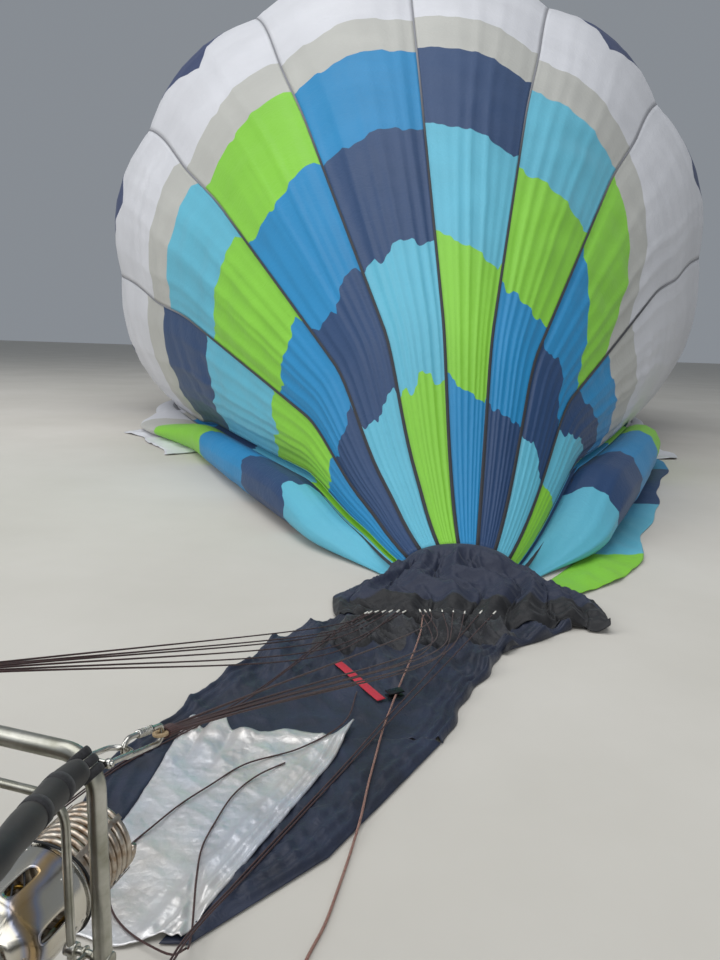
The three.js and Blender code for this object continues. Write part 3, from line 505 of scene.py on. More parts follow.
def gore_surface(g, u, t):
    """Points of gore g at shares u across it and stations t along it, as an array of x, y, z."""
    past = np.maximum(t - EQUATOR_AT, 0) / (CROWN_AT - EQUATOR_AT)
    y = np.where(t <= EQUATOR_AT, t, EQUATOR_AT + (CROWN_AT - EQUATOR_AT) * np.sin(math.pi / 2 * past))
    shrink = np.maximum(0, np.cos(math.pi / 2 * past))
    open_end = np.where(t <= EQUATOR_AT, CROWN_AT, crown_station(VENT_SEAT))
    opened = smoothstep(t, 0.9 * EQUATOR_AT, open_end)
    a, b = flat_seam(g, y, opened), flat_seam(g + 1, y, opened)
    on = mixed(a, b, u)
    chord = np.hypot(*(b - a))
    hump = 4 * u * (1 - u)
    wall = g < 8
    clear = np.minimum(1, (on[1] + (0.5 * chord * hump if wall else 0)) / 0.9)
    fullness = smoothstep(shrink, 0.42, 0.85)
    bulge = BULGE_SHARE * chord * hump * (1 if wall else opened) * fullness * clear
    full = np.stack([on[0] - (b - a)[1] / chord * bulge, on[1] + (b - a)[0] / chord * bulge])
    if g in ROLL_GORES:
        side = ROLL_GORES[g]
        _, _, lower, middle, _ = foot(y, side)
        angle = mixed(ROLL_START, ROLL_END, u if side > 0 else 1 - u)
        half_height = lower[1] / (1 + math.sin(ROLL_START))
        roll_x = middle + side * roll_size(y, side, "width") * np.cos(angle)
        roll = np.stack([roll_x, half_height * (1 + np.sin(angle))])
        full = mixed(roll, full, opened)
    if g == FOLDED_GORE:
        tuck = np.minimum(TUCK_DEPTH, 0.25 * section(y)[1])
        full[0] += tuck * (1 - np.abs(2 * u - 1)) * (1 - opened)
    x = CROWN_DRIFT + (full[0] - CROWN_DRIFT) * shrink
    z = CROWN_HEIGHT + (full[1] - CROWN_HEIGHT) * shrink
    x = np.where(shrink == 1, full[0], x)
    z = np.where(shrink == 1, full[1], z)
    z = z * mixed(MOUTH_SLUMP, 1.0, smoothstep(t, MOUTH_END, SLUMP_TO))
    return np.stack([x, y, z], axis=-1)


def outward(g, u, t):
    """The way out of the envelope at each point, from the slopes of the smooth gore."""
    before, after = np.maximum(u - SLOPE_STEP / 2, 0), np.minimum(u + SLOPE_STEP / 2, 1)
    across = gore_surface(g, after, t) - gore_surface(g, before, t)
    along = gore_surface(g, u, t + SLOPE_STEP) - gore_surface(g, u, t - SLOPE_STEP)
    return unit(np.cross(across, along))


def gore_width(g, t):
    left, right_edge = gore_surface(g, np.zeros_like(t), t), gore_surface(g, np.ones_like(t), t)
    return np.linalg.norm(right_edge - left, axis=-1)


def cloth_along(g, t):
    """Length of cloth from the mouth to stations t, along the middle of a gore."""
    steps = np.linspace(MOUTH_END, CROWN_AT - 0.01, 400)
    line = gore_surface(g, np.full_like(steps, 0.5), steps)
    return MOUTH_END + np.interp(t, steps, run_along(line))


# Loose cloth: pleats start at the mouth and fade out at their own distances, and puckers lie along the tapes.
# Sizes are in metres, or in shares of a gore's width where they run across it.
CLOTH_LENGTH = 25.0
ROLL_GATHER = 0.30
ROLL_GATHER_TO = 1.2
FLOOR_GATHER = 0.78
PLEATS = {"count": 7, "depth": 0.034, "reach": (3.5, 10.5), "strong": (0.55, 1.0), "narrow": (0.028, 0.055)}
ROWS_SHIFT = 0.18
PUCKERS = {"height": 0.007, "near": 0.13, "pitch": (0.30, 0.62), "wide_pitch": (0.5, 1.6)}
QUIET_WIDTH = 1.2


def pleats(g, u, s):
    """Height of the pleats over the smooth gore, and how far they draw the colour borders up or down."""
    draw = np.random.default_rng(100 + g)
    height = np.zeros_like(u)
    shift = np.zeros_like(u)
    for k in range(PLEATS["count"]):
        at = (k + 0.5 + draw.uniform(-0.32, 0.32)) / PLEATS["count"]
        at = at + 0.02 * np.sin(s * draw.uniform(0.5, 0.9) + draw.uniform(0, 6))
        reach = draw.uniform(*PLEATS["reach"])
        strong = draw.uniform(*PLEATS["strong"])
        narrow = draw.uniform(*PLEATS["narrow"])
        fade = np.exp(-((s / reach) ** 2)) + 0.18
        ridge = np.exp(-(((u - at) / narrow) ** 2))
        lean = np.tanh((u - at) / (0.50 * narrow))
        height += PLEATS["depth"] * strong * fade * (ridge * (1 - 0.45 * lean) - 0.25)
        shift += draw.uniform(-ROWS_SHIFT, ROWS_SHIFT) * (0.45 + 0.55 * fade) * (0.5 + 0.5 * lean)
    return height, shift


def puckers(g, u, s):
    """Height of the short folds that cross a tape, and of a few long ones that cross the whole gore."""
    draw = np.random.default_rng(300 + g)
    height = np.zeros_like(u)
    for edge in (0, 1):
        near = np.exp(-np.abs(u - edge) / PUCKERS["near"])
        for _ in range(4):
            pitch = draw.uniform(*PUCKERS["pitch"])
            slant = draw.uniform(-1.4, 1.4)
            phase = draw.uniform(0, 6)
            swell = 0.5 + 0.5 * np.sin(s * draw.uniform(0.5, 1.3) + phase)
            height += near * swell * np.sin(2 * math.pi * s / pitch + slant * 6 * np.abs(u - edge) + phase)
    for _ in range(5):
        pitch = draw.uniform(*PUCKERS["wide_pitch"])
        angle = draw.uniform(-0.6, 0.6)
        wave = np.sin(2 * math.pi * (s + angle * 3 * u) / pitch + draw.uniform(0, 6))
        height += 0.7 * wave * np.sin(math.pi * u)
    return PUCKERS["height"] * height * smoothstep(s, MOUTH_END, 3.0)


def gore_cloth_surface(g, u, t):
    """Points of the loose cloth, with its length from the mouth after the pleats have shifted it."""
    s = cloth_along(g, t)
    height, shift = pleats(g, u, s)
    height = height + puckers(g, u, s)
    quiet = np.minimum(1, gore_width(g, t) / QUIET_WIDTH)
    edge = smoothstep(np.minimum(u, 1 - u), 0.0, 0.06)
    floor_gore = 11 <= g <= 13 or g in (8, 9)
    if floor_gore:
        height = 0.25 * np.abs(height)
    near_mouth = smoothstep(t, MOUTH_END, ROLL_GATHER_TO)
    points = gore_surface(g, u, t) + outward(g, u, t) * (height * quiet * edge)[..., None]
    if g in ROLL_GORES:
        crease = foot(np.minimum(t, EQUATOR_AT), ROLL_GORES[g])[1][0]
        gathered = mixed(ROLL_GATHER, 1.0, near_mouth)
        from_seam = u if ROLL_GORES[g] > 0 else 1 - u
        lowered = mixed(1.0, gathered, smoothstep(from_seam, 0.02, 0.25))
        points[..., 0] = crease + (points[..., 0] - crease) * gathered
        points[..., 2] = points[..., 2] * lowered
    if floor_gore and g > 10:
        points[..., 0] = points[..., 0] * mixed(FLOOR_GATHER, 1.0, near_mouth)
        points[..., 2] = np.abs(gore_surface(g, u, t)[..., 2] + height * quiet * edge)
    points[..., 2] = np.maximum(points[..., 2], 0.0)
    points[..., 1] = np.where(t <= MOUTH_END, MOUTH_END, points[..., 1])
    return points, s + shift * edge * smoothstep(s, 1.0, 2.5) * smoothstep(18 - s, 0, 2)


# Ripstop nylon: dyed cloth with a thin coating, which has a soft sheen, fades in patches of about a metre
# and is finely creased about every 110 mm. Rows of colour follow the cloth's length from the mouth, in
# metres, and each gore starts one colour further on.
BLUE, NAVY, SKY_BLUE, LIME = 0x0880B6, 0x163B66, 0x5AB0C8, 0x80C433
GREY, WHITE = 0xB4B4AE, 0xCFD0D5
CYCLE = [LIME, BLUE, NAVY, SKY_BLUE]
FIRST_ROW = [NAVY, SKY_BLUE, LIME, BLUE]
ROWS = [0.0, 1.97, 4.06, 6.46]
GREY_ROW = 8.96
WHITE_BAND = 10.16
PLAIN_WHITE = 11.0
SECOND_GREY = 17.5
CROWN_ROWS = [18.7, 20.6, 22.3, 23.6]
LOZENGE = {"middle": 13.6, "half_length": 1.75, "half_width": 0.31, "colour": 0x26365F}
FADED_PATCH = 1110
CLOTH_CREASE = 111


def gore_finish(phase):
    """Cloth for each fourth gore. Colour rows and lozenges are read from the cloth's UVs."""
    name = f"ripstop_nylon_{phase + 1}"
    material, tree, shader = new_finish(name, WHITE, 0.55, Sheen_Weight=0.06, Sheen_Roughness=0.4)
    uv = add_node(tree, "ShaderNodeUVMap", uv_map="cloth").outputs["UV"]
    along = add_node(tree, "ShaderNodeSeparateXYZ", {"Vector": uv}).outputs["Y"]
    top = CYCLE.index(FIRST_ROW[phase])
    rows = [(at, CYCLE[(top + 3 - row) % 4]) for row, at in enumerate(ROWS)]
    rows += [(GREY_ROW, GREY), (WHITE_BAND, WHITE), (SECOND_GREY, GREY)]
    rows += [(at, CYCLE[(top - row) % 4]) for row, at in enumerate(CROWN_ROWS)]
    stops = [(at / CLOTH_LENGTH, colour) for at, colour in rows]
    sewn = add_node(tree, "ShaderNodeValToRGB", {"Fac": along}, stops)
    sewn.color_ramp.interpolation = "CONSTANT"

    middle = (0.5, LOZENGE["middle"] / CLOTH_LENGTH, 0)
    per_half = (1 / LOZENGE["half_width"], CLOTH_LENGTH / LOZENGE["half_length"], 0)
    off_middle = add_node(tree, "ShaderNodeVectorMath", {0: uv, 1: middle}, operation="SUBTRACT")
    away = add_node(tree, "ShaderNodeVectorMath", {0: off_middle.outputs["Vector"]}, operation="ABSOLUTE")
    shares = {0: away.outputs["Vector"], 1: per_half}
    reach = add_node(tree, "ShaderNodeVectorMath", shares, operation="DOT_PRODUCT")
    inside = add_node(tree, "ShaderNodeMath", {0: reach.outputs["Value"], 1: 1.0}, operation="LESS_THAN")
    lozenge = {"Factor": inside.outputs["Value"], 6: sewn.outputs["Color"], 7: srgb(LOZENGE["colour"])}
    patterned = add_node(tree, "ShaderNodeMix", data_type="RGBA", inputs=lozenge)

    place = add_node(tree, "ShaderNodeTexCoord").outputs["Object"]
    fade = add_node(tree, "ShaderNodeTexNoise", {"Vector": place, "Scale": 1000 / FADED_PATCH, "Detail": 6.0})
    tone = add_node(tree, "ShaderNodeMapRange", {"Value": fade.outputs["Fac"], "To Min": 0.86, "To Max": 1.12})
    shaded = {"Color": patterned.outputs[2], "Value": tone.outputs["Result"]}
    add_node(tree, "ShaderNodeHueSaturation", shaded, to=shader.inputs["Base Color"])
    crease = {"Vector": place, "Scale": 1000 / CLOTH_CREASE, "Detail": 4.0, "Distortion": 1.4}
    creases = add_node(tree, "ShaderNodeTexNoise", crease)
    relief = {"Height": creases.outputs["Fac"], "Distance": 0.012, "Strength": 0.45}
    add_node(tree, "ShaderNodeBump", relief, to=shader.inputs["Normal"])
    return material


gore_cloths = [gore_finish(phase) for phase in range(4)]
VENT_END = crown_station(VENT_EDGE)
CLOTH = 0.004
GORE_GRID = {"wall": (36, 170), "roll": (30, 160), "floor": (12, 80)}
CLOSER_AT_MOUTH = 1.15
# Slack cloth is drawn down towards the mouth, more on the outer gores: metres at each gore's left and right
# seam. This starts near the mouth, is full further on, and ends at the plain white above the rows.
DRAWN_DOWN = {0: (1.0, 1.0), 1: (1.0, 0.9), 2: (0.85, 0.6), 3: (0.5, 0.2), 4: (0.0, 0.35), 5: (0.75, 1.1),
              6: (1.6, 5.2), 7: (5.2, 5.8), 10: (1.1, 1.1), 14: (1.25, 1.25)}
DRAWN_FROM, DRAWN_FULL = 0.6, 3.6


def cloth_area(shape):
    return sum(face.calc_area() for face in shape.faces)


def thicken(piece, wall):
    """Cloth and sheet metal get their wall inwards from the modelled face."""
    solidify = piece.modifiers.new("wall", "SOLIDIFY")
    solidify.thickness = wall
    solidify.offset = -1


for g in range(GORES):
    kind = "wall" if g < 8 or g == FOLDED_GORE else "roll" if g in ROLL_GORES else "floor"

    def surface(u, v, g=g):
        t = MOUTH_END + (VENT_END - MOUTH_END) * v**CLOSER_AT_MOUTH
        points, s = gore_cloth_surface(g, u, t)
        if g in DRAWN_DOWN:
            drawn = s + mixed(*DRAWN_DOWN[g], u) * smoothstep(s, DRAWN_FROM, DRAWN_FULL)
            s = np.maximum(s, np.minimum(drawn, PLAIN_WHITE))
        return points + np.array(MOUTH), np.stack([u, s / CLOTH_LENGTH], axis=-1)

    shape, _ = grid_sheet(*GORE_GRID[kind], surface)
    area = cloth_area(shape)
    cloth = new_piece(f"gore_cloth_{g + 1:02d}", shape, gore_cloths[g % 4])
    thicken(cloth, CLOTH)
    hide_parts(f"gore_{g + 1:02d}")
    flat_length = float(cloth_along(g, np.array([VENT_END]))[0]) - MOUTH_END


# Basket end: burner frame, burners and basket lie on their side, turned a little from the envelope's line.
# Places are given in metres from the middle of the burner frame: x across it, y towards the mouth, z up.
BASKET_TURN = math.radians(-16.86)
SIDES = ((1, "near"), (-1, "far"))
frame_low, frame_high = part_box("burner_frame")
frame_middle = (Vector(frame_low) + Vector(frame_high)) / 2
BASKET_END = Matrix.Translation(frame_middle) @ Matrix.Rotation(BASKET_TURN, 4, "Z")

# Burner frame: a square of stainless tube, bent at its corners and welded shut. Short collars are welded
# into its upright sides for the gimbal's pins.
FRAME_HALF = 0.38
FRAME_BEND = 0.06
FRAME_TUBE = 0.016
FRAME_COLLAR = {"from": 0.362, "to": 0.3975, "radius": 0.0145, "weld": 0.0022}
BROKEN_EDGE = 0.0015
BEND_POINTS = 13


def rounded_rectangle(half_width, half_height, corner, count, y=0.0):
    """Evenly spaced points round a rectangle with round corners, which stands across the basket's axis."""
    turns = np.radians(np.concatenate([np.linspace(90 * q, 90 * (q + 1), BEND_POINTS) for q in range(4)]))
    across = np.repeat([1, -1, -1, 1], BEND_POINTS) * (half_width - corner) + corner * np.cos(turns)
    upright = np.repeat([1, 1, -1, -1], BEND_POINTS) * (half_height - corner) + corner * np.sin(turns)
    outline = np.stack([across, np.full_like(across, y), upright], axis=-1)
    outline = np.vstack([outline, outline[:1]])
    reach = run_along(outline)
    at = np.linspace(0, reach[-1], count, endpoint=False)
    return np.stack([np.interp(at, reach, outline[:, k]) for k in range(3)], axis=-1)


def joined(*parts):
    """Several shapes made into one."""
    whole = bmesh.new()
    whole.loops.layers.uv.new("cloth")
    for part in parts:
        loose = bpy.data.meshes.new("loose")
        part.to_mesh(loose)
        part.free()
        whole.from_mesh(loose)
        bpy.data.meshes.remove(loose)
    return whole


def moved(shape, place):
    bmesh.ops.transform(shape, matrix=place, verts=shape.verts)
    return shape


def bar(start, end, radius, sides=16, edge=BROKEN_EDGE):
    """A straight round bar with broken edges at its ends."""
    start, end = np.array(start, float), np.array(end, float)
    ease = unit(end - start) * edge
    path = [start, start + ease, (start + end) / 2, end - ease, end]
    return rod(path, np.array([radius - edge, radius, radius, radius, radius - edge]), sides)


# Satin stainless: drawn, then hand rubbed, so scratches 1.6 mm apart break up its shine and grime dulls it in
# patches. The scratches are much coarser than life. Forged steel is smoother and dulled in smaller patches.
def brushed_metal(name, colour, dark, rough, patch=90, scratch=1.6, depth=0.04):
    """A rubbed metal, with its patches, scratches and their depth in mm."""
    material, tree, shader = new_finish(name, colour, rough[0], metallic=1.0)
    place, _ = mottle(tree, shader, colour, dark, patch, 0, rough)
    stretch = add_node(tree, "ShaderNodeMapping", {"Vector": place, "Scale": (1.0, 1.0, 0.12)})
    lines = {"Vector": stretch.outputs["Vector"], "Scale": 1000 / scratch, "Detail": 2.0}
    scratches = add_node(tree, "ShaderNodeTexNoise", lines)
    relief = {"Height": scratches.outputs["Fac"], "Distance": depth / 1000, "Strength": 0.5}
    add_node(tree, "ShaderNodeBump", relief, to=shader.inputs["Normal"])
    return material


satin_tube = brushed_metal("satin_stainless_tube", 0xC9C8C0, 0x8F8E7E, (0.24, 0.42))
bright_steel = brushed_metal("polished_forged_steel", 0xD2D1CC, 0xA5A298, (0.14, 0.3), patch=30)

frame_parts = [rod(rounded_rectangle(FRAME_HALF, FRAME_HALF, FRAME_BEND, 300), FRAME_TUBE, 24, closed=True)]
for side in (-1, 1):
    collar_ends = [(side * FRAME_COLLAR[end], 0, 0) for end in ("from", "to")]
    frame_parts.append(bar(*collar_ends, FRAME_COLLAR["radius"], 24))
for side in (-1, 1):
    bead = rod(rounded_rectangle(0.0165, 0.0165, 0.0160, 32), FRAME_COLLAR["weld"], 8, closed=True)
    at_side = Matrix.Translation((side * FRAME_HALF, 0, 0)) @ Matrix.Rotation(math.pi / 2, 4, "Z")
    frame_parts.append(moved(bead, at_side @ Matrix.Scale(0.95, 4)))
load_frame = new_piece("load_frame_tube", joined(*frame_parts), satin_tube, place=BASKET_END)
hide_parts("burner_frame")

# Gimbal ring: a lighter loop of the same tube, which tilts on two pins in the burner frame. The pins' collars
# and the bosses in its top and bottom are turned and welded on.
GIMBAL = {"half_width": 0.315, "half_height": 0.290, "corner": 0.05, "tube": 0.008, "pin": 0.007,
          "pin_end": 0.3637}
GIMBAL_COLLARS = [(0.3050, 0.3270, 0.0125), (0.3400, 0.3460, 0.0115)]
GIMBAL_BOSS = (0.2830, 0.2990, 0.0125)
ring_path = rounded_rectangle(GIMBAL["half_width"], GIMBAL["half_height"], GIMBAL["corner"], 240)
gimbal_parts = [rod(ring_path, GIMBAL["tube"], 16, closed=True)]
for side in (-1, 1):
    pin_ends = (side * GIMBAL["half_width"], 0, 0), (side * GIMBAL["pin_end"], 0, 0)
    gimbal_parts.append(bar(*pin_ends, GIMBAL["pin"], 20))
    for start, end, radius in GIMBAL_COLLARS:
        gimbal_parts.append(bar((side * start, 0, 0), (side * end, 0, 0), radius, 24))
    start, end, radius = GIMBAL_BOSS
    gimbal_parts.append(bar((0, 0, side * start), (0, 0, side * end), radius, 24))
gimbal = new_piece("gimbal_loop", joined(*gimbal_parts), satin_tube, "gimbal", BASKET_END)
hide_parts("gimbal_ring")

# Crossbar: a steel tube between the two burner blocks, on an upright spindle that turns in the gimbal ring.
# Its boss is machined, and a collar with a bolt on top clamps it to each block.
BURNER_ASIDE = 0.18
BLOCK_HALF = 0.055
BLOCK_AT = -0.1375
FACE_GAP = 0.0003
CROSSBAR = 0.014
SPINDLE = {"radius": 0.009, "half_length": 0.2817, "collar": 0.0125, "collar_at": 0.2680, "collar_half": 0.007}
HUB_SLEEVE = {"radius": 0.0165, "half_length": 0.024}
CLAMP = {"from": 0.098, "to": 0.120, "radius": 0.0185, "bolt_at": 0.109, "bolt_up": 0.0205}
BEVEL_STEPS = 3


def bevelled_box(size, bevel, at=(0, 0, 0)):
    shape = bmesh.new()
    bmesh.ops.create_cube(shape, size=1)
    bmesh.ops.scale(shape, vec=size, verts=shape.verts)
    bmesh.ops.bevel(shape, geom=shape.edges[:], offset=bevel, affect="EDGES", segments=BEVEL_STEPS,
                    profile=0.5, material=-1)
    bmesh.ops.translate(shape, vec=at, verts=shape.verts)
    return shape


def hexagon(radius, height, at, turn=None):
    """A nut or bolt head: six flats, broken at its top edge."""
    shape = bmesh.new()
    bmesh.ops.create_cone(shape, cap_ends=True, segments=6, radius1=radius, radius2=radius, depth=height)
    top = [edge for edge in shape.edges if all(v.co.z > 0 for v in edge.verts)]
    bmesh.ops.bevel(shape, geom=top, offset=0.15 * radius, affect="EDGES", segments=1, profile=0.5,
                    material=-1)
    return moved(shape, Matrix.Translation(at) @ (turn or Matrix.Identity(4)))


bar_end = BURNER_ASIDE - BLOCK_HALF - FACE_GAP
spindle_end, sleeve_end = SPINDLE["half_length"], HUB_SLEEVE["half_length"]
crossbar_parts = [
    bar((-bar_end, BLOCK_AT, 0), (bar_end, BLOCK_AT, 0), CROSSBAR, 24),
    bar((0, BLOCK_AT, 0), (0, 0, 0), CROSSBAR, 24),
    bar((0, 0, -spindle_end), (0, 0, spindle_end), SPINDLE["radius"], 24),
    bar((0, 0, -sleeve_end), (0, 0, sleeve_end), HUB_SLEEVE["radius"], 24),
    bevelled_box((0.05, 0.036, 0.036), 0.004, (0, BLOCK_AT, 0)),
]
for low, high in ((-CLAMP["to"], -CLAMP["from"]), (CLAMP["from"], CLAMP["to"])):
    crossbar_parts.append(bar((low, BLOCK_AT, 0), (high, BLOCK_AT, 0), CLAMP["radius"], 24))
for side in (-1, 1):
    z = side * SPINDLE["collar_at"]
    collar_ends = (0, 0, z - SPINDLE["collar_half"]), (0, 0, z + SPINDLE["collar_half"])
    crossbar_parts.append(bar(*collar_ends, SPINDLE["collar"], 24))
for side in (-1, 1):
    crossbar_parts.append(hexagon(0.006, 0.005, (side * CLAMP["bolt_at"], BLOCK_AT, CLAMP["bolt_up"])))
crossbar = new_piece("burner_crossbar_tube", joined(*crossbar_parts), satin_tube, "burners", BASKET_END)
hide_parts("burner_crossbar")

# Burner blocks: machined from solid aluminium and anodised, with a flange on the can's side, a capped port
# behind, valve spindles above and below, and a bolt at each corner. The grips are moulded and pushed on.
FLANGE = [(0, -0.0905), (0.066, -0.0905), (0.0695, -0.087), (0.0695, -0.0735), (0.06, -0.0715), (0, -0.0715)]
PORT_CAP = [(0, 0), (0.024, 0), (0.026, 0.003), (0.026, 0.012), (0.022, 0.016), (0, 0.016)]
PORT_CAP_BACK = 0.068
BLOCK = {"deep": 0.105, "bevel": 0.007, "riser": 0.019, "riser_to": 0.080, "bolt_at": 0.042,
         "bolt_back": 0.0535}
SPOUT = {"back": 0.010, "out": 0.0665, "radius": 0.0145}
VALVE_STEM = {"out": 0.066, "end_back": 0.044, "end_out": 0.0885, "radius": 0.0055}
VALVE_GRIP = {"back": 0.036, "out": 0.083, "end_back": 0.060, "end_out": 0.0985, "radius": 0.0118}
PILOT_GRIP = {"aside": 0.045, "back": 0.052, "end_back": 0.066, "down": 0.02, "radius": 0.012}

# Anodised aluminium: satin black, worn a little paler in patches of 20 mm
anodised, tree, shader = new_finish("black_anodised_aluminium", 0x1B1C1F, 0.38, metallic=0.6)
mottle(tree, shader, 0x141517, 0x2A2B2E, 20, 0.06, (0.3, 0.5))
# Moulded nylon: even and bright, with handling marks of 12 mm
grip_blue, tree, shader = new_finish("moulded_nylon_grip", 0x1468C8, 0.42)
mottle(tree, shader, 0x0F5CBB, 0x1F77D8, 12, 0.1, (0.35, 0.5))


def turned(profile, steps=48):
    """A profile of (radius, y) points spun round the Y axis."""
    shape = bmesh.new()
    points = [shape.verts.new((radius, y, 0)) for radius, y in profile]
    edges = [shape.edges.new(pair) for pair in zip(points, points[1:])]
    bmesh.ops.spin(shape, geom=points + edges, cent=(0, 0, 0), axis=(0, 1, 0), angle=2 * math.pi, steps=steps,
                   use_merge=True)
    bmesh.ops.remove_doubles(shape, verts=shape.verts, dist=MERGED)
    bmesh.ops.recalc_face_normals(shape, faces=shape.faces)
    return shape


def add_valve_block(side, label, at_burner):
    cap_middle = (-side * 0.001, BLOCK_AT - PORT_CAP_BACK, 0)
    cap_at = Matrix.Translation(cap_middle) @ Matrix.Rotation(math.pi, 4, "Z")
    block_parts = [
        bevelled_box((2 * BLOCK_HALF, BLOCK["deep"], 2 * BLOCK_HALF), BLOCK["bevel"], (0, BLOCK_AT, 0)),
        turned(FLANGE),
        bar((0, BLOCK_AT, 0), (0, BLOCK["riser_to"], 0), BLOCK["riser"], 24),
        moved(turned(PORT_CAP, 32), cap_at @ Matrix.Translation((0, -PORT_CAP[-1][1], 0))),
    ]
    for way in (-1, 1):
        spout_end = (0, BLOCK_AT - SPOUT["back"], way * SPOUT["out"])
        block_parts.append(bar((0, BLOCK_AT, way * BLOCK_HALF), spout_end, SPOUT["radius"], 24))
        stem = (0, BLOCK_AT - SPOUT["back"], way * VALVE_STEM["out"])
        stem_end = (0, BLOCK_AT - VALVE_STEM["end_back"], way * VALVE_STEM["end_out"])
        block_parts.append(bar(stem, stem_end, VALVE_STEM["radius"], 16))
    turn_head = Matrix.Rotation(math.pi / 2, 4, "X")
    for corner_x in (-BLOCK["bolt_at"], BLOCK["bolt_at"]):
        for corner_z in (-BLOCK["bolt_at"], BLOCK["bolt_at"]):
            bolt_at = (corner_x, BLOCK_AT - BLOCK["bolt_back"], corner_z)
            block_parts.append(hexagon(0.0055, 0.005, bolt_at, turn_head))
    block = new_piece(f"burner_valve_block_{label}", joined(*block_parts), anodised, "burners", at_burner)
    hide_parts(f"burner_block_{label}")

    grips = []
    for way in (-1, 1):
        start = (0, BLOCK_AT - VALVE_GRIP["back"], way * VALVE_GRIP["out"])
        end = (0, BLOCK_AT - VALVE_GRIP["end_back"], way * VALVE_GRIP["end_out"])
        grips.append(bar(start, end, VALVE_GRIP["radius"], 24, 0.003))
    start, end = [(side * PILOT_GRIP["aside"], BLOCK_AT - PILOT_GRIP[back], -PILOT_GRIP["down"])
                  for back in ("back", "end_back")]
    grips.append(bar(start, end, PILOT_GRIP["radius"], 24, 0.002))
    grip = new_piece(f"blast_valve_grips_{label}", joined(*grips), grip_blue, "burners", at_burner)


# Jet rings: two rings of brass tube with twelve jets each, joined by four spokes round the pilot light.
# Four long legs of brass rod stand inside the coil and carry it.
JETS = {"at": 0.048, "tip": 0.059, "count": 12, "radius": 0.0024}
JET_RINGS = ((0.046, 0.0042), (0.028, 0.0036))
JET_LEGS = {"reach": 0.061, "from": -0.074, "to": 0.268, "radius": 0.003}
SPOKES = {"from": 0.014, "to": 0.046, "radius": 0.0032}
PILOT = {"from": 0.06, "to": 0.096, "radius": 0.0105}
FINE_EDGE = 0.0005
# Machined brass: yellow and bright, browned by heat in patches of 15 mm
brass, tree, shader = new_finish("machined_brass", 0xC9A24E, 0.3, metallic=1.0)
mottle(tree, shader, 0xC9A24E, 0x8D6B2C, 15, 0.03, (0.22, 0.4))


def circle(count, middle, across, above_it):
    """Points round a circle: its middle, and its arms at a quarter turn from each other."""
    turns = np.linspace(0, 2 * math.pi, count + 1)[:-1]
    return np.array(middle) + np.outer(np.cos(turns), across) + np.outer(np.sin(turns), above_it)


def add_jet_ring(label, at_burner):
    jets = []
    leg_at = JET_LEGS["reach"] * math.sqrt(0.5)
    for leg in circle(4, (0, 0, 0), (leg_at, 0, leg_at), (-leg_at, 0, leg_at)):
        jets.append(bar(leg + (0, JET_LEGS["from"], 0), leg + (0, JET_LEGS["to"], 0), JET_LEGS["radius"], 10))
    for reach, radius in JET_RINGS:
        arms = (0, JETS["at"], 0), (reach, 0, 0), (0, 0, reach)
        jets.append(rod(circle(39, *arms), radius, 10, closed=True))
        for jet in circle(JETS["count"], *arms):
            jets.append(bar(jet, jet + (0, JETS["tip"] - JETS["at"], 0), JETS["radius"], 8, FINE_EDGE))
    for way in circle(4, (0, 0, 0), (1, 0, 0), (0, 0, 1)):
        ends = [way * SPOKES[end] + (0, JETS["at"], 0) for end in ("from", "to")]
        jets.append(bar(*ends, SPOKES["radius"], 8))
    jets.append(bar((0, PILOT["from"], 0), (0, PILOT["to"], 0), PILOT["radius"], 16))
    jet_ring = new_piece(f"jet_ring_{label}", joined(*jets), brass, "burners", at_burner)


# Burner can: bright sheet rolled round the burner, pierced by six long air slots and beaded at both ends.
# Each slot lies in the middle of a panel, and rivets hold the panels between the slots.
CAN = {"radius": 0.098, "from": -0.0847, "to": 0.100, "sheet": 0.0016, "narrow": 0.070, "shoulder": 0.045}
SLOTS = 6
SLOT = {"half_length": 0.036, "half_width": 0.0115, "at": 0.010}
SLOT_RING = (14, 22)
PANEL_ROWS = 5
RIMS = ((CAN["to"], CAN["radius"] - 0.0012, 0.0026), (CAN["from"] + 0.002, 0.0705, 0.0022))
RIVETS = {"at": (0.062, 0.080), "radius": 0.0034, "height": 0.0016, "sunk": 0.0008}
# Heat-tinted sheet: polished stainless, mottled every 70 mm and tinted straw and blue in wavy bands
heat_tinted, tree, shader = new_finish("heat_tinted_stainless_sheet", 0xC9C4B8, 0.2, metallic=1.0)
place, _ = mottle(tree, shader, 0xD0CCC2, 0xA8906C, 70, 0.12, (0.12, 0.3))
tint = add_node(tree, "ShaderNodeTexWave", {"Vector": place, "Scale": 3.0, "Distortion": 6.0, "Detail": 3.0})
add_node(tree, "ShaderNodeValToRGB", {"Fac": tint.outputs["Fac"]},
         [(0, 0xD6D2C8), (0.55, 0xC9C3B4), (0.8, 0x9FA3B4), (1, 0xB59B73)], shader.inputs["Base Color"])


def can_radius(y):
    """The sheet is narrow at the block and comes to its full width by the slots."""
    return mixed(CAN["narrow"], CAN["radius"], smoothstep(y, CAN["from"], CAN["from"] + CAN["shoulder"]))


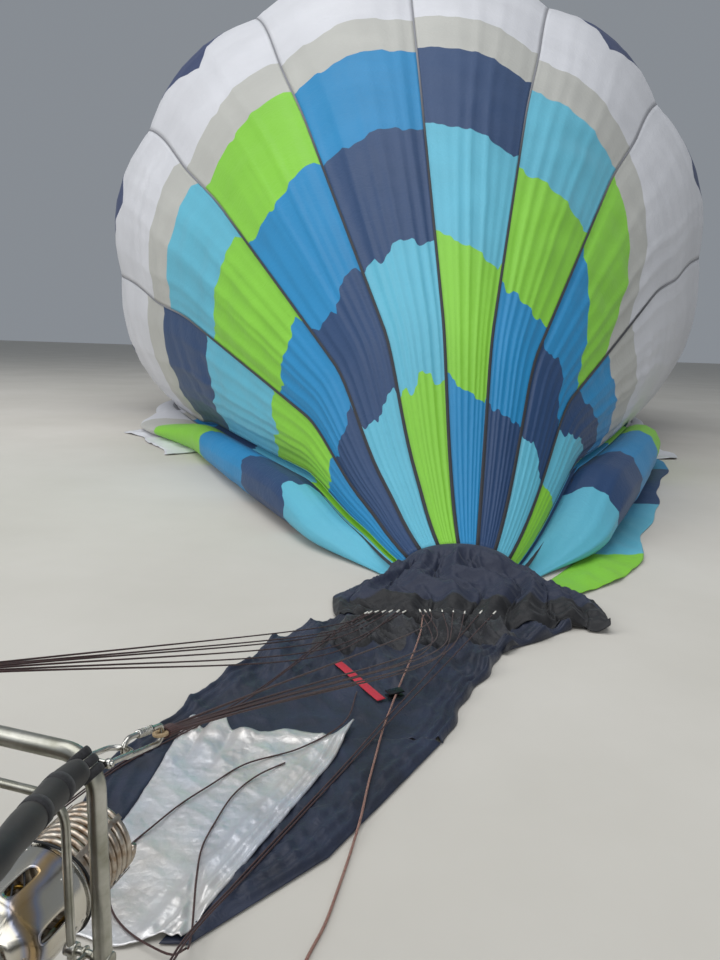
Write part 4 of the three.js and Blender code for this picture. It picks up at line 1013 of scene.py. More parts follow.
def slotted_panel(slot, u, v):
    """Rings of points from the slot's rounded outline out to the edges of one sixth of the can."""
    across, along = SLOT_RING
    step = np.round(u * 2 * (across + along)) % (2 * (across + along))
    sides = [step < across, step < across + along, step < 2 * across + along]
    edge_x = np.select(sides, [step / across - 0.5, 0.5, 0.5 - (step - across - along) / across], -0.5)
    edge_y = np.select(sides, [0.0, (step - across) / along, 1.0], 1 - (step - 2 * across - along) / along)
    panel = 2 * math.pi / SLOTS * CAN["radius"]
    border = np.stack([edge_x * panel, mixed(CAN["from"], CAN["to"], edge_y)], axis=-1)
    turn = np.arctan2((border[:, 1] - SLOT["at"]) / 0.09, border[:, 0] / (panel / 2))
    straight = (SLOT["half_length"] - SLOT["half_width"]) * np.tanh(2.2 * np.sin(turn))
    round_end = SLOT["half_width"] * np.sin(turn)
    inner = np.stack([SLOT["half_width"] * np.cos(turn), SLOT["at"] + straight + round_end], axis=-1)
    flat = mixed(inner, border, (v**1.4)[:, None])
    radius = can_radius(flat[:, 1])
    angle = flat[:, 0] / CAN["radius"] + 2 * math.pi * slot / SLOTS
    points = np.stack([radius * np.cos(angle), flat[:, 1], radius * np.sin(angle)], axis=-1)
    return points, np.stack([u, v], axis=-1)


def add_can(label, at_burner):
    panels = bmesh.new()
    for slot in range(SLOTS):
        grid_sheet(2 * sum(SLOT_RING), PANEL_ROWS,
                   lambda u, v, slot=slot: slotted_panel(slot + 0.25, u, v), panels)
    bmesh.ops.remove_doubles(panels, verts=panels.verts, dist=2e-5)
    bmesh.ops.recalc_face_normals(panels, faces=panels.faces)
    can = new_piece(f"burner_can_sheet_{label}", panels, heat_tinted, "burners", at_burner)
    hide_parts(f"burner_can_{label}")
    thicken(can, CAN["sheet"])

    rims = []
    for y, radius, bead in RIMS:
        rims.append(rod(circle(72, (0, y, 0), (radius, 0, 0), (0, 0, radius)), bead, 10, closed=True))
    for slot in range(SLOTS):
        angle = 2 * math.pi * (slot + 0.75) / SLOTS
        out = Vector((math.cos(angle), 0, math.sin(angle)))
        turn_out = Vector((0, 0, 1)).rotation_difference(out).to_matrix().to_4x4()
        for y in RIVETS["at"]:
            head = bar((0, 0, 0), (0, 0, RIVETS["height"]), RIVETS["radius"], 12, 0.0007)
            seat = out * (CAN["radius"] - RIVETS["sunk"]) + Vector((0, y, 0))
            rims.append(moved(head, Matrix.Translation(seat) @ turn_out))
    rim_beads = new_piece(f"can_rims_{label}", joined(*rims), bright_steel, "burners", at_burner)


# Pilot wires: black wire that is twisted shut round the can's end and tied across two of its slots
END_WIRE = {"reach": 0.0995, "at": 0.104, "wave": 0.004, "radius": 0.0028}
SLOT_WIRES = {"slots": (1, 2), "reach": 0.0945, "radius": 0.0018, "at": ((-0.012, 0.10), (0.018, 0.13))}
# Coated wire: dull black, scuffed every 10 mm
dark_wire, tree, shader = new_finish("black_coated_wire", 0x101012, 0.5)
mottle(tree, shader, 0x0C0C0E, 0x1E1E22, 10, 0.1)


def add_wires(label, at_burner):
    reach = END_WIRE["reach"]
    end_wire = circle(96, (0, END_WIRE["at"], 0), (reach, 0, 0), (0, 0, reach))
    end_wire[:, 1] += END_WIRE["wave"] * np.sin(3 * np.linspace(0, 2 * math.pi, 97)[:-1])
    loops = [rod(end_wire, END_WIRE["radius"], 10, closed=True)]
    reach = SLOT_WIRES["reach"]
    for slot in SLOT_WIRES["slots"]:
        angle = 2 * math.pi * (slot + 0.25) / SLOTS
        for y, tilt in SLOT_WIRES["at"]:
            start = (reach * math.cos(angle - tilt), y - 0.012, reach * math.sin(angle - tilt))
            end = (reach * math.cos(angle + tilt), y + 0.014, reach * math.sin(angle + tilt))
            loops.append(bar(start, end, SLOT_WIRES["radius"], 8, FINE_EDGE))
    wires = new_piece(f"pilot_wires_{label}", joined(*loops), dark_wire, "burners", at_burner)


# Coil: eleven turns of stainless tube that warm the fuel before it burns, browned by the flame.
# It is wound as one helix that narrows a little, and tied by four flat straps.
COIL = {"turns": 11, "steps": 28, "from": 0.0705, "to": 0.262, "reach": 0.0842, "narrows": 0.004,
        "tube": 0.0076}
FEED = {"from": (-0.06, 0.012), "to": (0.02, 0.004), "radius": 0.0065}
COIL_STRAPS = {"turned": (0.6, 2.2, 3.9, 5.4), "thick": 0.0022, "wide": 0.012, "short": 0.010, "reach": 0.0898}
# Heat-browned tube: stainless that has lost its shine in patches of 20 mm
coil_steel, tree, shader = new_finish("heat_browned_coil_tube", 0xB3A999, 0.32, metallic=1.0)
mottle(tree, shader, 0xCBC4B8, 0x97816C, 20, 0.05, (0.22, 0.42))


def add_coil(label, at_burner):
    t = np.linspace(0, 1, COIL["turns"] * COIL["steps"] + 1)
    winding = 2 * math.pi * COIL["turns"] * t
    reach = COIL["reach"] - COIL["narrows"] * t
    along = mixed(COIL["from"], COIL["to"], t)
    helix = np.stack([reach * np.cos(winding), along, reach * np.sin(winding)], axis=-1)
    feed = [(COIL["reach"], *FEED["from"]), (COIL["reach"], *FEED["to"])]
    coil_parts = [rod(helix, COIL["tube"], 12, start=(1, 0, 0)), bar(*feed, FEED["radius"], 12)]
    coil = new_piece(f"burner_coil_tube_{label}", joined(*coil_parts), coil_steel, "burners", at_burner)
    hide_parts(f"burner_coil_{label}")

    straps = []
    strap_length = COIL["to"] - COIL["from"] - COIL_STRAPS["short"]
    strap_at = (COIL_STRAPS["reach"], (COIL["from"] + COIL["to"]) / 2 - 0.004, 0)
    for turn in COIL_STRAPS["turned"]:
        strap = bevelled_box((COIL_STRAPS["thick"], strap_length, COIL_STRAPS["wide"]), 0.0006, strap_at)
        straps.append(moved(strap, Matrix.Rotation(turn, 4, "Y")))
    strap_bars = new_piece(f"coil_straps_{label}", joined(*straps), coil_steel, "burners", at_burner)


for side, label in SIDES:
    at_burner = BASKET_END @ Matrix.Translation((side * BURNER_ASIDE, 0, 0))
    add_valve_block(side, label, at_burner)
    add_jet_ring(label, at_burner)
    add_can(label, at_burner)
    add_wires(label, at_burner)
    add_coil(label, at_burner)


# Fuel hoses: reinforced rubber hose from each block out past the frame, clipped beside the gimbal pin, then
# down into the basket to the tank's valve. Each is crimped into silver fittings. The clip parts it in two.
HOSE = 0.0100
TANK = {"radius": 0.150, "length": 0.780, "guard": 0.060, "aside": 0.4547, "below": 0.3447}
RIM_AT = -0.850
RIM_RADIUS = 0.035
WALLS_FROM = RIM_AT - RIM_RADIUS - FACE_GAP
WALLS_END = WALLS_FROM - 1.080
TANK_TOP = WALLS_END + TANK["length"] + TANK["guard"]
HOSE_ROUTE = [
    (BURNER_ASIDE + BLOCK_HALF + FACE_GAP, BLOCK_AT, 0.045), (0.285, BLOCK_AT, 0.046), (0.345, -0.112, 0.048),
    (0.400, -0.095, 0.046), (0.452, -0.085, 0.025), (0.486, -0.095, -0.050), (0.492, -0.140, -0.150),
    (0.498, -0.260, -0.265), (0.490, -0.450, -0.345), (0.474, -0.700, -0.375), (0.460, -0.900, -0.360),
    (TANK["aside"], -1.040, -TANK["below"]), (TANK["aside"], TANK_TOP + FACE_GAP, -TANK["below"]),
]
ROD_STEP = 0.012
CLIP_AT = 0.352
CLIP_HALF = 0.009
# Where each hose leaves the block, reaches the clip, leaves it again and is still
BENDS = [(0.262, BLOCK_AT, 0.045), (0.338, -0.114, 0.048), (0.366, -0.105, 0.047), (0.480, -0.095, -0.045)]
CRIMP_BORE = 0.0095
# Rubber over a braid: matt black, dusty in patches of 30 mm
hose_rubber, tree, shader = new_finish("braid_backed_rubber_hose", 0x17181A, 0.55)
mottle(tree, shader, 0x121314, 0x26272A, 30, 0.1, (0.45, 0.65))
# Zinc plate: brighter than the tube, with duller patches of 20 mm
crimped = brushed_metal("zinc_plated_crimp", 0xCFCDC6, 0x9C998F, (0.25, 0.45), patch=20)


def crimp(start, along, length=0.042, radius=0.0128):
    """A sleeve pressed on the hose, with three rings left by the crimping jaws."""
    profile = [(CRIMP_BORE, 0), (radius - 0.0012, 0), (radius, 0.0015)]
    for ring in range(3):
        y = length * (0.25 + 0.22 * ring)
        profile += [(radius, y - 0.003), (radius - 0.0013, y), (radius, y + 0.003)]
    profile += [(radius, length - 0.0015), (radius - 0.001, length), (CRIMP_BORE, length)]
    turn = Vector((0, 1, 0)).rotation_difference(Vector(along)).to_matrix().to_4x4()
    return moved(turned(profile, 28), Matrix.Translation(start) @ turn)


for side, label in SIDES:
    route = smooth_path([(side * x, y, z) for x, y, z in HOSE_ROUTE], ROD_STEP)
    clipped = int(np.argmax(np.abs(route[:, 0]) > CLIP_AT))
    first = rod(route[: clipped + 1], HOSE, 16)
    rest = rod(route[clipped:], HOSE, 16)
    burner_side = new_piece(f"hose_to_burner_{label}", first, hose_rubber, None, BASKET_END)
    tank_side = new_piece(f"hose_to_tank_{label}", rest, hose_rubber, None, BASKET_END)
    ends = [BASKET_END @ Vector((side * x, y, z)) for x, y, z in BENDS]
    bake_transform(burner_side)
    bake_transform(tank_side)
    for hose in (burner_side, tank_side):
        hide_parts(f"fuel_hose_{label}")
    sleeve = crimp((side * 0.2365, BLOCK_AT, 0.045), (side, 0, 0.02))
    nut = hexagon(0.0135, 0.010, (side * 0.2345, BLOCK_AT, 0.045), Matrix.Rotation(math.pi / 2, 4, "Y"))
    fitting = new_piece(f"hose_crimp_{label}", joined(sleeve, nut), crimped, "burners", BASKET_END)
    clip_middle = Vector(route[clipped])
    clip_along = Vector(route[clipped + 1] - route[clipped - 1]).normalized()
    band = crimp(clip_middle - clip_along * CLIP_HALF, clip_along, 2 * CLIP_HALF, 0.0122)
    stalk = bar(clip_middle + Vector((0, 0, -0.008)), (side * 0.350, -0.006, 0.006), 0.0028, 10)
    hose_clip = new_piece(f"hose_clip_{label}", joined(band, stalk), crimped, "gimbal", BASKET_END)
    sleeve = crimp((side * TANK["aside"], TANK_TOP + 0.002, -TANK["below"]), (0, 1, 0), 0.046)
    tank_fitting = new_piece(f"tank_crimp_{label}", sleeve, crimped, place=BASKET_END)

# Basket: willow rods woven round upright stakes, open at its mouth, which faces the burners.
# Each row of willow passes in front of one stake and behind the next, and the rows alternate.
BASKET = {"half_width": 0.630, "half_height": 0.520, "corner": 0.120, "wall": 0.025}
STAKES = 98
STAKE_RADIUS = 0.0052
ROW_PITCH = 0.0150
STEPS_PER_STAKE = 2
WEAVER = {"half": 0.0082, "flat": 0.55, "sway": 0.0062}
weave_middle = BASKET["wall"] / 2
weave_outline = rounded_rectangle(BASKET["half_width"] - weave_middle, BASKET["half_height"] - weave_middle,
                                  BASKET["corner"] - weave_middle, STAKES * STEPS_PER_STAKE)
ahead_on = unit(np.roll(weave_outline, -1, axis=0) - np.roll(weave_outline, 1, axis=0))
weave_out = np.cross(ahead_on, np.array([0, 1.0, 0]))
if weave_out[0] @ weave_outline[0] < 0:
    weave_out = -weave_out

# Peeled willow: straw brown, in uneven patches of 71 mm, with fibres that run along each rod
willow, tree, shader = new_finish("peeled_willow", 0x9A6B3C, 0.55, Coat_Weight=0.15)
uv = add_node(tree, "ShaderNodeUVMap", uv_map="cloth").outputs["UV"]
fibres = add_node(tree, "ShaderNodeMapping", {"Vector": uv, "Scale": (9.0, 3.0, 1.0)}).outputs["Vector"]
streaks = add_node(tree, "ShaderNodeTexNoise", {"Vector": fibres, "Scale": 6.0, "Detail": 5.0}).outputs["Fac"]
place = add_node(tree, "ShaderNodeTexCoord").outputs["Object"]
patches = add_node(tree, "ShaderNodeTexNoise", {"Vector": place, "Scale": 1000 / 71.43, "Detail": 4.0})
blended = add_node(tree, "ShaderNodeMath", {0: streaks, 1: patches.outputs["Fac"]}, operation="MULTIPLY")
add_node(tree, "ShaderNodeValToRGB", {"Fac": blended.outputs["Value"]}, [(0.12, 0x5E3B1D), (0.42, 0xC08C55)],
         shader.inputs["Base Color"])
add_node(tree, "ShaderNodeBump", {"Height": streaks, "Distance": 0.0004, "Strength": 0.6},
         to=shader.inputs["Normal"])

around = np.arange(STAKES * STEPS_PER_STAKE) / STEPS_PER_STAKE
strands = []
for row in range(int((WALLS_FROM - WALLS_END) / ROW_PITCH)):
    y = WALLS_FROM - (row + 0.5) * ROW_PITCH
    sway = WEAVER["sway"] * np.cos(math.pi * (around + row))
    path = weave_outline + weave_out * sway[:, None] + (0, y, 0)
    strands.append(rod(path, WEAVER["half"], 4, closed=True, flat=WEAVER["flat"], start=(0, 1, 0)))
weavers = new_piece("basket_weave", joined(*strands), willow, place=BASKET_END)
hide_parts("basket_walls")
stakes = []
for at in weave_outline[::STEPS_PER_STAKE]:
    stakes.append(bar(at + (0, WALLS_FROM, 0), at + (0, WALLS_END, 0), STAKE_RADIUS, 8))
stake_rods = new_piece("basket_stakes", joined(*stakes), willow, place=BASKET_END)

# Rim: hide stitched over foam on the basket's top edge, which swells a little between the stitches. A lace of
# the same hide is wound round it through every few stakes.
RIM = {"half_width": 0.625, "half_height": 0.515, "corner": 0.110}
RIM_POINTS = 360
RIM_SWELLS = ((0.0012, 9), (0.0006, 4.1))
LACES = 60
LACE = {"half_width": 0.6175, "half_height": 0.5075, "corner": 0.1075, "radius": 0.0024, "down": 0.016}
LACE_ARMS = (0.0225, 0.0235)
# Hide: black and satin, with pores drawn 2.4 mm apart so that they show, and brown wear in patches of 143 mm
hide, tree, shader = new_finish("black_hide", 0x232328, 0.5, Coat_Weight=0.1)
place = add_node(tree, "ShaderNodeTexCoord").outputs["Object"]
pores = add_node(tree, "ShaderNodeTexVoronoi", {"Vector": place, "Scale": 1000 / 2.381}).outputs["Distance"]
patches = {"Vector": place, "Scale": 1000 / 142.9, "Detail": 6.0}
wear = add_node(tree, "ShaderNodeTexNoise", patches).outputs["Fac"]
add_node(tree, "ShaderNodeValToRGB", {"Fac": wear}, [(0.4, 0x1B1B1F), (0.72, 0x4A4542)],
         shader.inputs["Base Color"])
relief = {"Height": pores, "Distance": 0.0006, "Strength": 0.6}
add_node(tree, "ShaderNodeBump", relief, to=shader.inputs["Normal"])

rim_radii = np.full(RIM_POINTS, RIM_RADIUS)
for depth, points_each in RIM_SWELLS:
    rim_radii -= depth * (1 + np.sin(2 * math.pi * np.arange(RIM_POINTS) / points_each))
rim_path = rounded_rectangle(RIM["half_width"], RIM["half_height"], RIM["corner"], RIM_POINTS, RIM_AT)
rim_shape = rod(rim_path, rim_radii, 24, closed=True, start=(0, 1, 0))
rim = new_piece("rim_pad_hide", rim_shape, hide, place=BASKET_END)
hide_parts("basket_rim_pad")
laces = []
lace_path = rounded_rectangle(LACE["half_width"], LACE["half_height"], LACE["corner"], LACES, RIM_AT)
for i in range(LACES):
    out = unit(np.cross(lace_path[(i + 1) % LACES] - lace_path[i - 1], (0, 1.0, 0)))
    loop = circle(16, lace_path[i] - (0, LACE["down"], 0), out * LACE_ARMS[0], (0, LACE_ARMS[1], 0))
    laces.append(rod(loop, LACE["radius"], 6, closed=True))
lacing = new_piece("rim_lacing", joined(*laces), hide, place=BASKET_END)

# Floor: a varnished plywood board on three hardwood runners, which are worn along their edges. Five bolts go
# through the board into each runner.
RUNNERS_AT = (-0.62, 0, 0.62)
BOLTS_AT = (-0.5, -0.25, 0, 0.25, 0.5)
RUNNER_FACE = WALLS_END - FACE_GAP - 0.020 - 0.0275
# Varnished plywood: glossy, with brown grain that is stretched along the board
plywood, tree, shader = new_finish("varnished_plywood", 0xA9824F, 0.4, Coat_Weight=0.3)
place = add_node(tree, "ShaderNodeTexCoord").outputs["Object"]
along_board = {"Vector": place, "Rotation": (0, 0, -BASKET_TURN), "Scale": (1.0, 30.0, 22.0)}
turned_to = add_node(tree, "ShaderNodeMapping", along_board).outputs["Vector"]
streak = {"Vector": turned_to, "Scale": 3.0, "Detail": 7.0, "Distortion": 0.6}
grain = add_node(tree, "ShaderNodeTexNoise", streak).outputs["Fac"]
add_node(tree, "ShaderNodeValToRGB", {"Fac": grain}, [(0.3, 0x74502A), (0.7, 0xC49B63)],
         shader.inputs["Base Color"])
relief = {"Height": grain, "Distance": 0.0006, "Strength": 0.4}
add_node(tree, "ShaderNodeBump", relief, to=shader.inputs["Normal"])
floor_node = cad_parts["basket_floor"]
floor_node.data.materials.clear()
floor_node.data.materials.append(plywood)
heads = []
for share in RUNNERS_AT:
    for x in BOLTS_AT:
        bolt_at = Vector((x, RUNNER_FACE, share * BASKET["half_height"]))
        heads.append(hexagon(0.010, 0.005, bolt_at, Matrix.Rotation(math.pi / 2, 4, "X")))
bolts = new_piece("runner_bolts", joined(*heads), crimped, place=BASKET_END)

# Fuel tanks: spun aluminium cylinders with a rolled foot, a domed shoulder and a pierced guard welded round
# the valve. Two webbing straps with buckles hold each in a lower corner of the basket.
TANK_FOOT = [(0, 0.012), (0.105, 0.008), (0.110, 0), (0.120, 0), (0.124, 0.014), (0.142, 0.028),
             (0.148, 0.045), (0.149, 0.33), (0.150, 0.335), (0.150, 0.345), (0.149, 0.35)]
TANK_NECK = [(0.040, -0.004), (0.030, 0), (0.030, 0.010), (0, 0.010)]
TANK_DOME = {"from": 0.075, "at": 0.070, "flat": 0.052, "rise": 0.062, "degrees": 80, "steps": 8}
GUARD = [(0.098, -0.022), (0.101, -0.022), (0.101, 0.052), (0.104, 0.056), (0.101, TANK["guard"]),
         (0.097, 0.056), (0.098, 0.050), (0.098, -0.022)]
GUARD_OPENING = {"low": -0.01, "high": 0.045, "aside": 0.055}
VALVE_AT = 0.028
KNOB = [(0, 0), (0.018, 0), (0.021, 0.004), (0.021, 0.010), (0.017, 0.013), (0, 0.013)]
TANK_STRAPS = {"at": (0.28, 0.72), "clear": 0.0012, "half": 0.0225, "flat": 0.06,
               "buckle": (0.030, 0.052, 0.008)}
# Spun aluminium: pale and satin, with scuffed patches of 120 mm
spun = brushed_metal("spun_aluminium", 0xC9CBCD, 0x9A9C9E, (0.3, 0.5), patch=120)
# Webbing: dull black, with a weave of 4 mm
strap_web, tree, shader = new_finish("black_webbing_strap", 0x1A1A1D, 0.75, Sheen_Weight=0.1)
mottle(tree, shader, 0x141416, 0x2B2B2F, 4, 0.4)
shoulder = WALLS_END + TANK["length"]
for side, label in SIDES:
    at_tank = BASKET_END @ Matrix.Translation((side * TANK["aside"], 0, -TANK["below"]))
    profile = [(radius, WALLS_END + y) for radius, y in TANK_FOOT]
    profile.append((TANK_FOOT[-1][0], shoulder - TANK_DOME["from"]))
    for turn in np.radians(np.linspace(0, TANK_DOME["degrees"], TANK_DOME["steps"])):
        reach = TANK_DOME["flat"] + (TANK_FOOT[-1][0] - TANK_DOME["flat"]) * math.cos(turn)
        profile.append((reach, shoulder - TANK_DOME["at"] + TANK_DOME["rise"] * math.sin(turn)))
    profile += [(radius, shoulder + y) for radius, y in TANK_NECK]
    guard = turned([(radius, shoulder + y) for radius, y in GUARD], 64)
    openings = []
    for face in guard.faces:
        middle = face.calc_center_median()
        opened = shoulder + GUARD_OPENING["low"] < middle.y < shoulder + GUARD_OPENING["high"]
        if opened and abs(middle.z) > GUARD_OPENING["aside"]:
            openings.append(face)
    bmesh.ops.delete(guard, geom=openings, context="FACES")
    tank = new_piece(f"fuel_tank_body_{label}", joined(turned(profile, 72), guard), spun, place=at_tank)
    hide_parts(f"fuel_tank_{label}")
    valve_parts = [
        bar((0, shoulder + 0.008, 0), (0, TANK_TOP, 0), 0.0125, 20),
        bevelled_box((0.036, 0.026, 0.030), 0.004, (0, shoulder + VALVE_AT, 0)),
        bar((0, shoulder + VALVE_AT, 0), (0, shoulder + VALVE_AT, 0.042), 0.006, 12),
    ]
    valve = new_piece(f"tank_valve_{label}", joined(*valve_parts), brass, place=at_tank)
    knob_at = Matrix.Translation((0, shoulder + VALVE_AT, 0.040)) @ Matrix.Rotation(math.pi / 2, 4, "X")
    wheel = new_piece(f"tank_valve_knob_{label}", moved(turned(KNOB, 32), knob_at), grip_blue, place=at_tank)
    strap_parts = []
    reach = TANK["radius"] + TANK_STRAPS["clear"]
    for share in TANK_STRAPS["at"]:
        y = mixed(WALLS_END, shoulder, share)
        hoop = circle(72, (0, y, 0), (reach, 0, 0), (0, 0, reach))
        strap = rod(hoop, TANK_STRAPS["half"], 12, closed=True, flat=TANK_STRAPS["flat"], start=(0, 1, 0))
        strap_parts += [strap, bevelled_box(TANK_STRAPS["buckle"], 0.002, (0, y, TANK["radius"] + 0.004))]
    straps = new_piece(f"tank_straps_{label}", joined(*strap_parts), strap_web, place=at_tank)

# Padded poles: rods in a foam sleeve with a laced cover, from the frame's corners down inside the rim pad.
# Webbing bands hold the cover, and more webbing is wound round the frame's bend, so that no link slips.
SLEEVE = 0.025
SLEEVE_ENDS = {"share": 0.80, "run": 0.03, "swell": 0.0011, "pace": 71, "swell_run": 0.05}
BANDS = {"at": (0.055, 0.115, 0.30, 0.52, 0.74), "half": 0.009, "stands": 0.0004}
WINDING = {"pitch": 0.017, "reach": 0.0185, "half": 0.0078, "flat": 0.32, "back": 0.002}
frame_corner = FRAME_HALF - FRAME_BEND * (1 - math.sqrt(0.5))
pole_off = (RIM["corner"] - RIM_RADIUS - SLEEVE - FACE_GAP) * math.sqrt(0.5)
POLE_FOOT = (RIM["half_width"] - RIM["corner"] + pole_off, RIM["half_height"] - RIM["corner"] + pole_off)
POLE_ROUTE = [
    (frame_corner, -0.0155, frame_corner), (frame_corner, -0.060, frame_corner),
    (POLE_FOOT[0] - 0.012, RIM_AT + 0.150, POLE_FOOT[1] - 0.006),
    (POLE_FOOT[0], RIM_AT + RIM_RADIUS, POLE_FOOT[1]), (POLE_FOOT[0], RIM_AT - RIM_RADIUS, POLE_FOOT[1]),
    (POLE_FOOT[0], RIM_AT - 0.200, POLE_FOOT[1]),
]
# Coated cover: black, smooth and padded, with dusty brown patches of 120 mm
cover, tree, shader = new_finish("padded_black_cover", 0x1C1D1F, 0.6, Sheen_Weight=0.12)
mottle(tree, shader, 0x151618, 0x34332F, 120, 1.5, (0.42, 0.66))
CORNERS = {"near_top": (1, 1), "far_top": (-1, 1), "near_bottom": (1, -1), "far_bottom": (-1, -1)}
for label, (sx, sz) in CORNERS.items():
    path = smooth_path([(sx * x, y, sz * z) for x, y, z in POLE_ROUTE], ROD_STEP)
    reach = run_along(path)
    ends = np.minimum(reach, reach[-1] - reach)
    full = np.sqrt(np.clip(ends / SLEEVE_ENDS["run"], 0, 1))
    radii = SLEEVE * mixed(SLEEVE_ENDS["share"], 1.0, full)
    swell = SLEEVE_ENDS["swell"] * (1 + np.sin(reach * SLEEVE_ENDS["pace"]))
    radii = radii - swell * np.clip(ends / SLEEVE_ENDS["swell_run"], 0, 1)
    sleeve = new_piece(f"pole_sleeve_{label}", rod(path, radii, 24), cover, place=BASKET_END)
    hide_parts(f"padded_pole_{label}")
    bands = []
    for at in BANDS["at"]:
        i = int(np.argmax(reach > at))
        half = unit(path[i + 1] - path[i - 1]) * BANDS["half"]
        bands.append(rod([path[i] - half, path[i], path[i] + half], SLEEVE + BANDS["stands"], 24))
    wraps = new_piece(f"sleeve_straps_{label}", joined(*bands), strap_web, place=BASKET_END)

    middle = np.array([sx * frame_corner, 0, sz * frame_corner])
    tangent = unit(np.array([-sx, 0, sz]))
    outward_way = unit(np.array([sx, 0, sz]))
    turns = []
    for wrap in (-1, 0, 1):
        centre = middle + tangent * wrap * WINDING["pitch"] - outward_way * WINDING["back"] * abs(wrap)
        loop = circle(32, centre, outward_way * WINDING["reach"], (0, WINDING["reach"], 0))
        turns.append(rod(loop, WINDING["half"], 10, closed=True, flat=WINDING["flat"], start=tangent))
    winding = new_piece(f"corner_strap_{label}", joined(*turns), strap_web, place=BASKET_END)


# Load tapes: woven polyester webbing sewn along every seam from the mouth to the crown, where all sixteen meet
# on a hub round the crown ring. They carry the basket's weight, so the cloth bulges between them.
TAPE_HALF = 0.012
TAPE_STANDS = 0.0035
TAPE_TUCKED = -0.007
TAPE_STEPS = 190
TAPE_WALL = 0.0012
CREASED_SEAMS = (0, 8, 9, 10, 15)
FLOOR_SEAMS = (11, 12, 13, 14)
TAPE_END = crown_station(88.2)
HUB_BACK = 0.008
HUB = [(0.110, -0.004), (0.180, -0.004), (0.258, -0.003), (0.260, 0.0), (0.258, 0.003), (0.180, 0.006),
       (0.112, 0.0065), (0.110, -0.004)]
# Webbing: dull black with wavy ribs 2.5 mm apart, turning grey from 4.6 to 6.8 m along, where it lies on white
# cloth
black_webbing, tree, shader = new_finish("woven_polyester_tape", 0x22232A, 0.7, Sheen_Weight=0.1)
uv = add_node(tree, "ShaderNodeUVMap", uv_map="cloth").outputs["UV"]
ribs = add_node(tree, "ShaderNodeMapping", {"Vector": uv, "Scale": (3.0, 160.0, 1.0)}).outputs["Vector"]
woven = add_node(tree, "ShaderNodeTexWave", {"Vector": ribs, "Scale": 1.0, "Distortion": 1.5}).outputs["Fac"]
tone = add_node(tree, "ShaderNodeValToRGB", {"Fac": woven}, [(0, 0x15161B), (1, 0x33353D)])
along = add_node(tree, "ShaderNodeSeparateXYZ", {"Vector": uv}).outputs["Y"]
past_colours = add_node(tree, "ShaderNodeMapRange", {"Value": along, "From Min": 4.6, "From Max": 6.8})
grey_on_white = {"Factor": past_colours.outputs["Result"], 6: tone.outputs["Color"], 7: srgb(0x85868C)}
white_side = add_node(tree, "ShaderNodeMix", grey_on_white, data_type="RGBA")
tree.links.new(white_side.outputs[2], shader.inputs["Base Color"])
relief = {"Height": woven, "Distance": 0.0005, "Strength": 0.6}
add_node(tree, "ShaderNodeBump", relief, to=shader.inputs["Normal"])


def tape_surface(seam, u, v):
    t = mixed(MOUTH_END, TAPE_END, v)
    aside = (u - 0.5) * 2 * TAPE_HALF
    points = np.zeros((len(u), 3))
    lift = np.zeros((len(u), 3))
    beside = (((seam - 1) % GORES, 1.0, 0.97, aside <= 0), (seam % GORES, 0.0, 0.03, aside > 0))
    for g, edge, near_edge, chosen in beside:
        at = edge + aside / np.maximum(gore_width(g, t), 0.05)
        points[chosen] = gore_surface(g, np.clip(at, 0, 1), t)[chosen]
        lift += outward(g, np.full_like(t, near_edge), t)
    tucked = TAPE_TUCKED if seam in CREASED_SEAMS else TAPE_STANDS
    stands = mixed(tucked, TAPE_STANDS, smoothstep(t, 9.0, 11.0))
    points = points + unit(lift) * stands[:, None]
    if seam in FLOOR_SEAMS:
        points[:, 0] = points[:, 0] * mixed(FLOOR_GATHER, 1.0, smoothstep(t, MOUTH_END, ROLL_GATHER_TO))
    points[:, 2] = np.maximum(points[:, 2], 0.001)
    return points + np.array(MOUTH), np.stack([u, t], axis=-1)


tapes = bmesh.new()
for seam in range(GORES):
    grid_sheet(2, TAPE_STEPS, lambda u, v, seam=seam: tape_surface(seam, u, v), tapes)
bmesh.ops.recalc_face_normals(tapes, faces=tapes.faces)
crown_middle = (Vector(crown_low) + Vector(crown_high)) / 2
hub_at = Matrix.Translation((crown_middle.x, MOUTH.y + CROWN_AT - HUB_BACK, crown_middle.z))
tape_piece = new_piece("load_tape_webbing", joined(tapes, moved(turned(HUB, 96), hub_at)), black_webbing)
thicken(tape_piece, TAPE_WALL)
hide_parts("load_tapes")

# Crown ring: a turned metal ring with a squarish section, bright and finely scratched. All the tapes end
# on it, round the crown's opening.
CROWN_RING = {"radius": 0.135, "half_width": 0.0150, "half_height": 0.0120, "squareness": 0.6}
ring_profile = []
for turn in np.linspace(0, 2 * math.pi, 25):
    way = np.array([math.cos(turn), math.sin(turn)])
    across, up = np.sign(way) * np.abs(way) ** CROWN_RING["squareness"]
    reach = CROWN_RING["radius"] + CROWN_RING["half_width"] * across
    ring_profile.append((reach, CROWN_RING["half_height"] * up))
crown_place = Matrix.Translation(crown_middle)
crown = new_piece("crown_ring_turned", turned(ring_profile, 96), bright_steel, place=crown_place)
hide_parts("crown_ring")

# Parachute vent: a round cap of white ripstop that air pressure holds against the inside of the crown opening.
# It isn't tensioned here, so slack folds run out from its middle.
VENT_DEPTH = 0.030
VENT_FOLD = 0.045
VENT_FOLDS = 26
VENT_WALL = 0.003
VENT_MERGED = 0.0004
# White ripstop: a soft sheen, a little grey in patches of 0.8 m
vent_cloth, tree, shader = new_finish("white_ripstop_nylon", WHITE, 0.5, Sheen_Weight=0.2)
mottle(tree, shader, 0xCFD0D6, 0xE4E5EA, 800, 10)


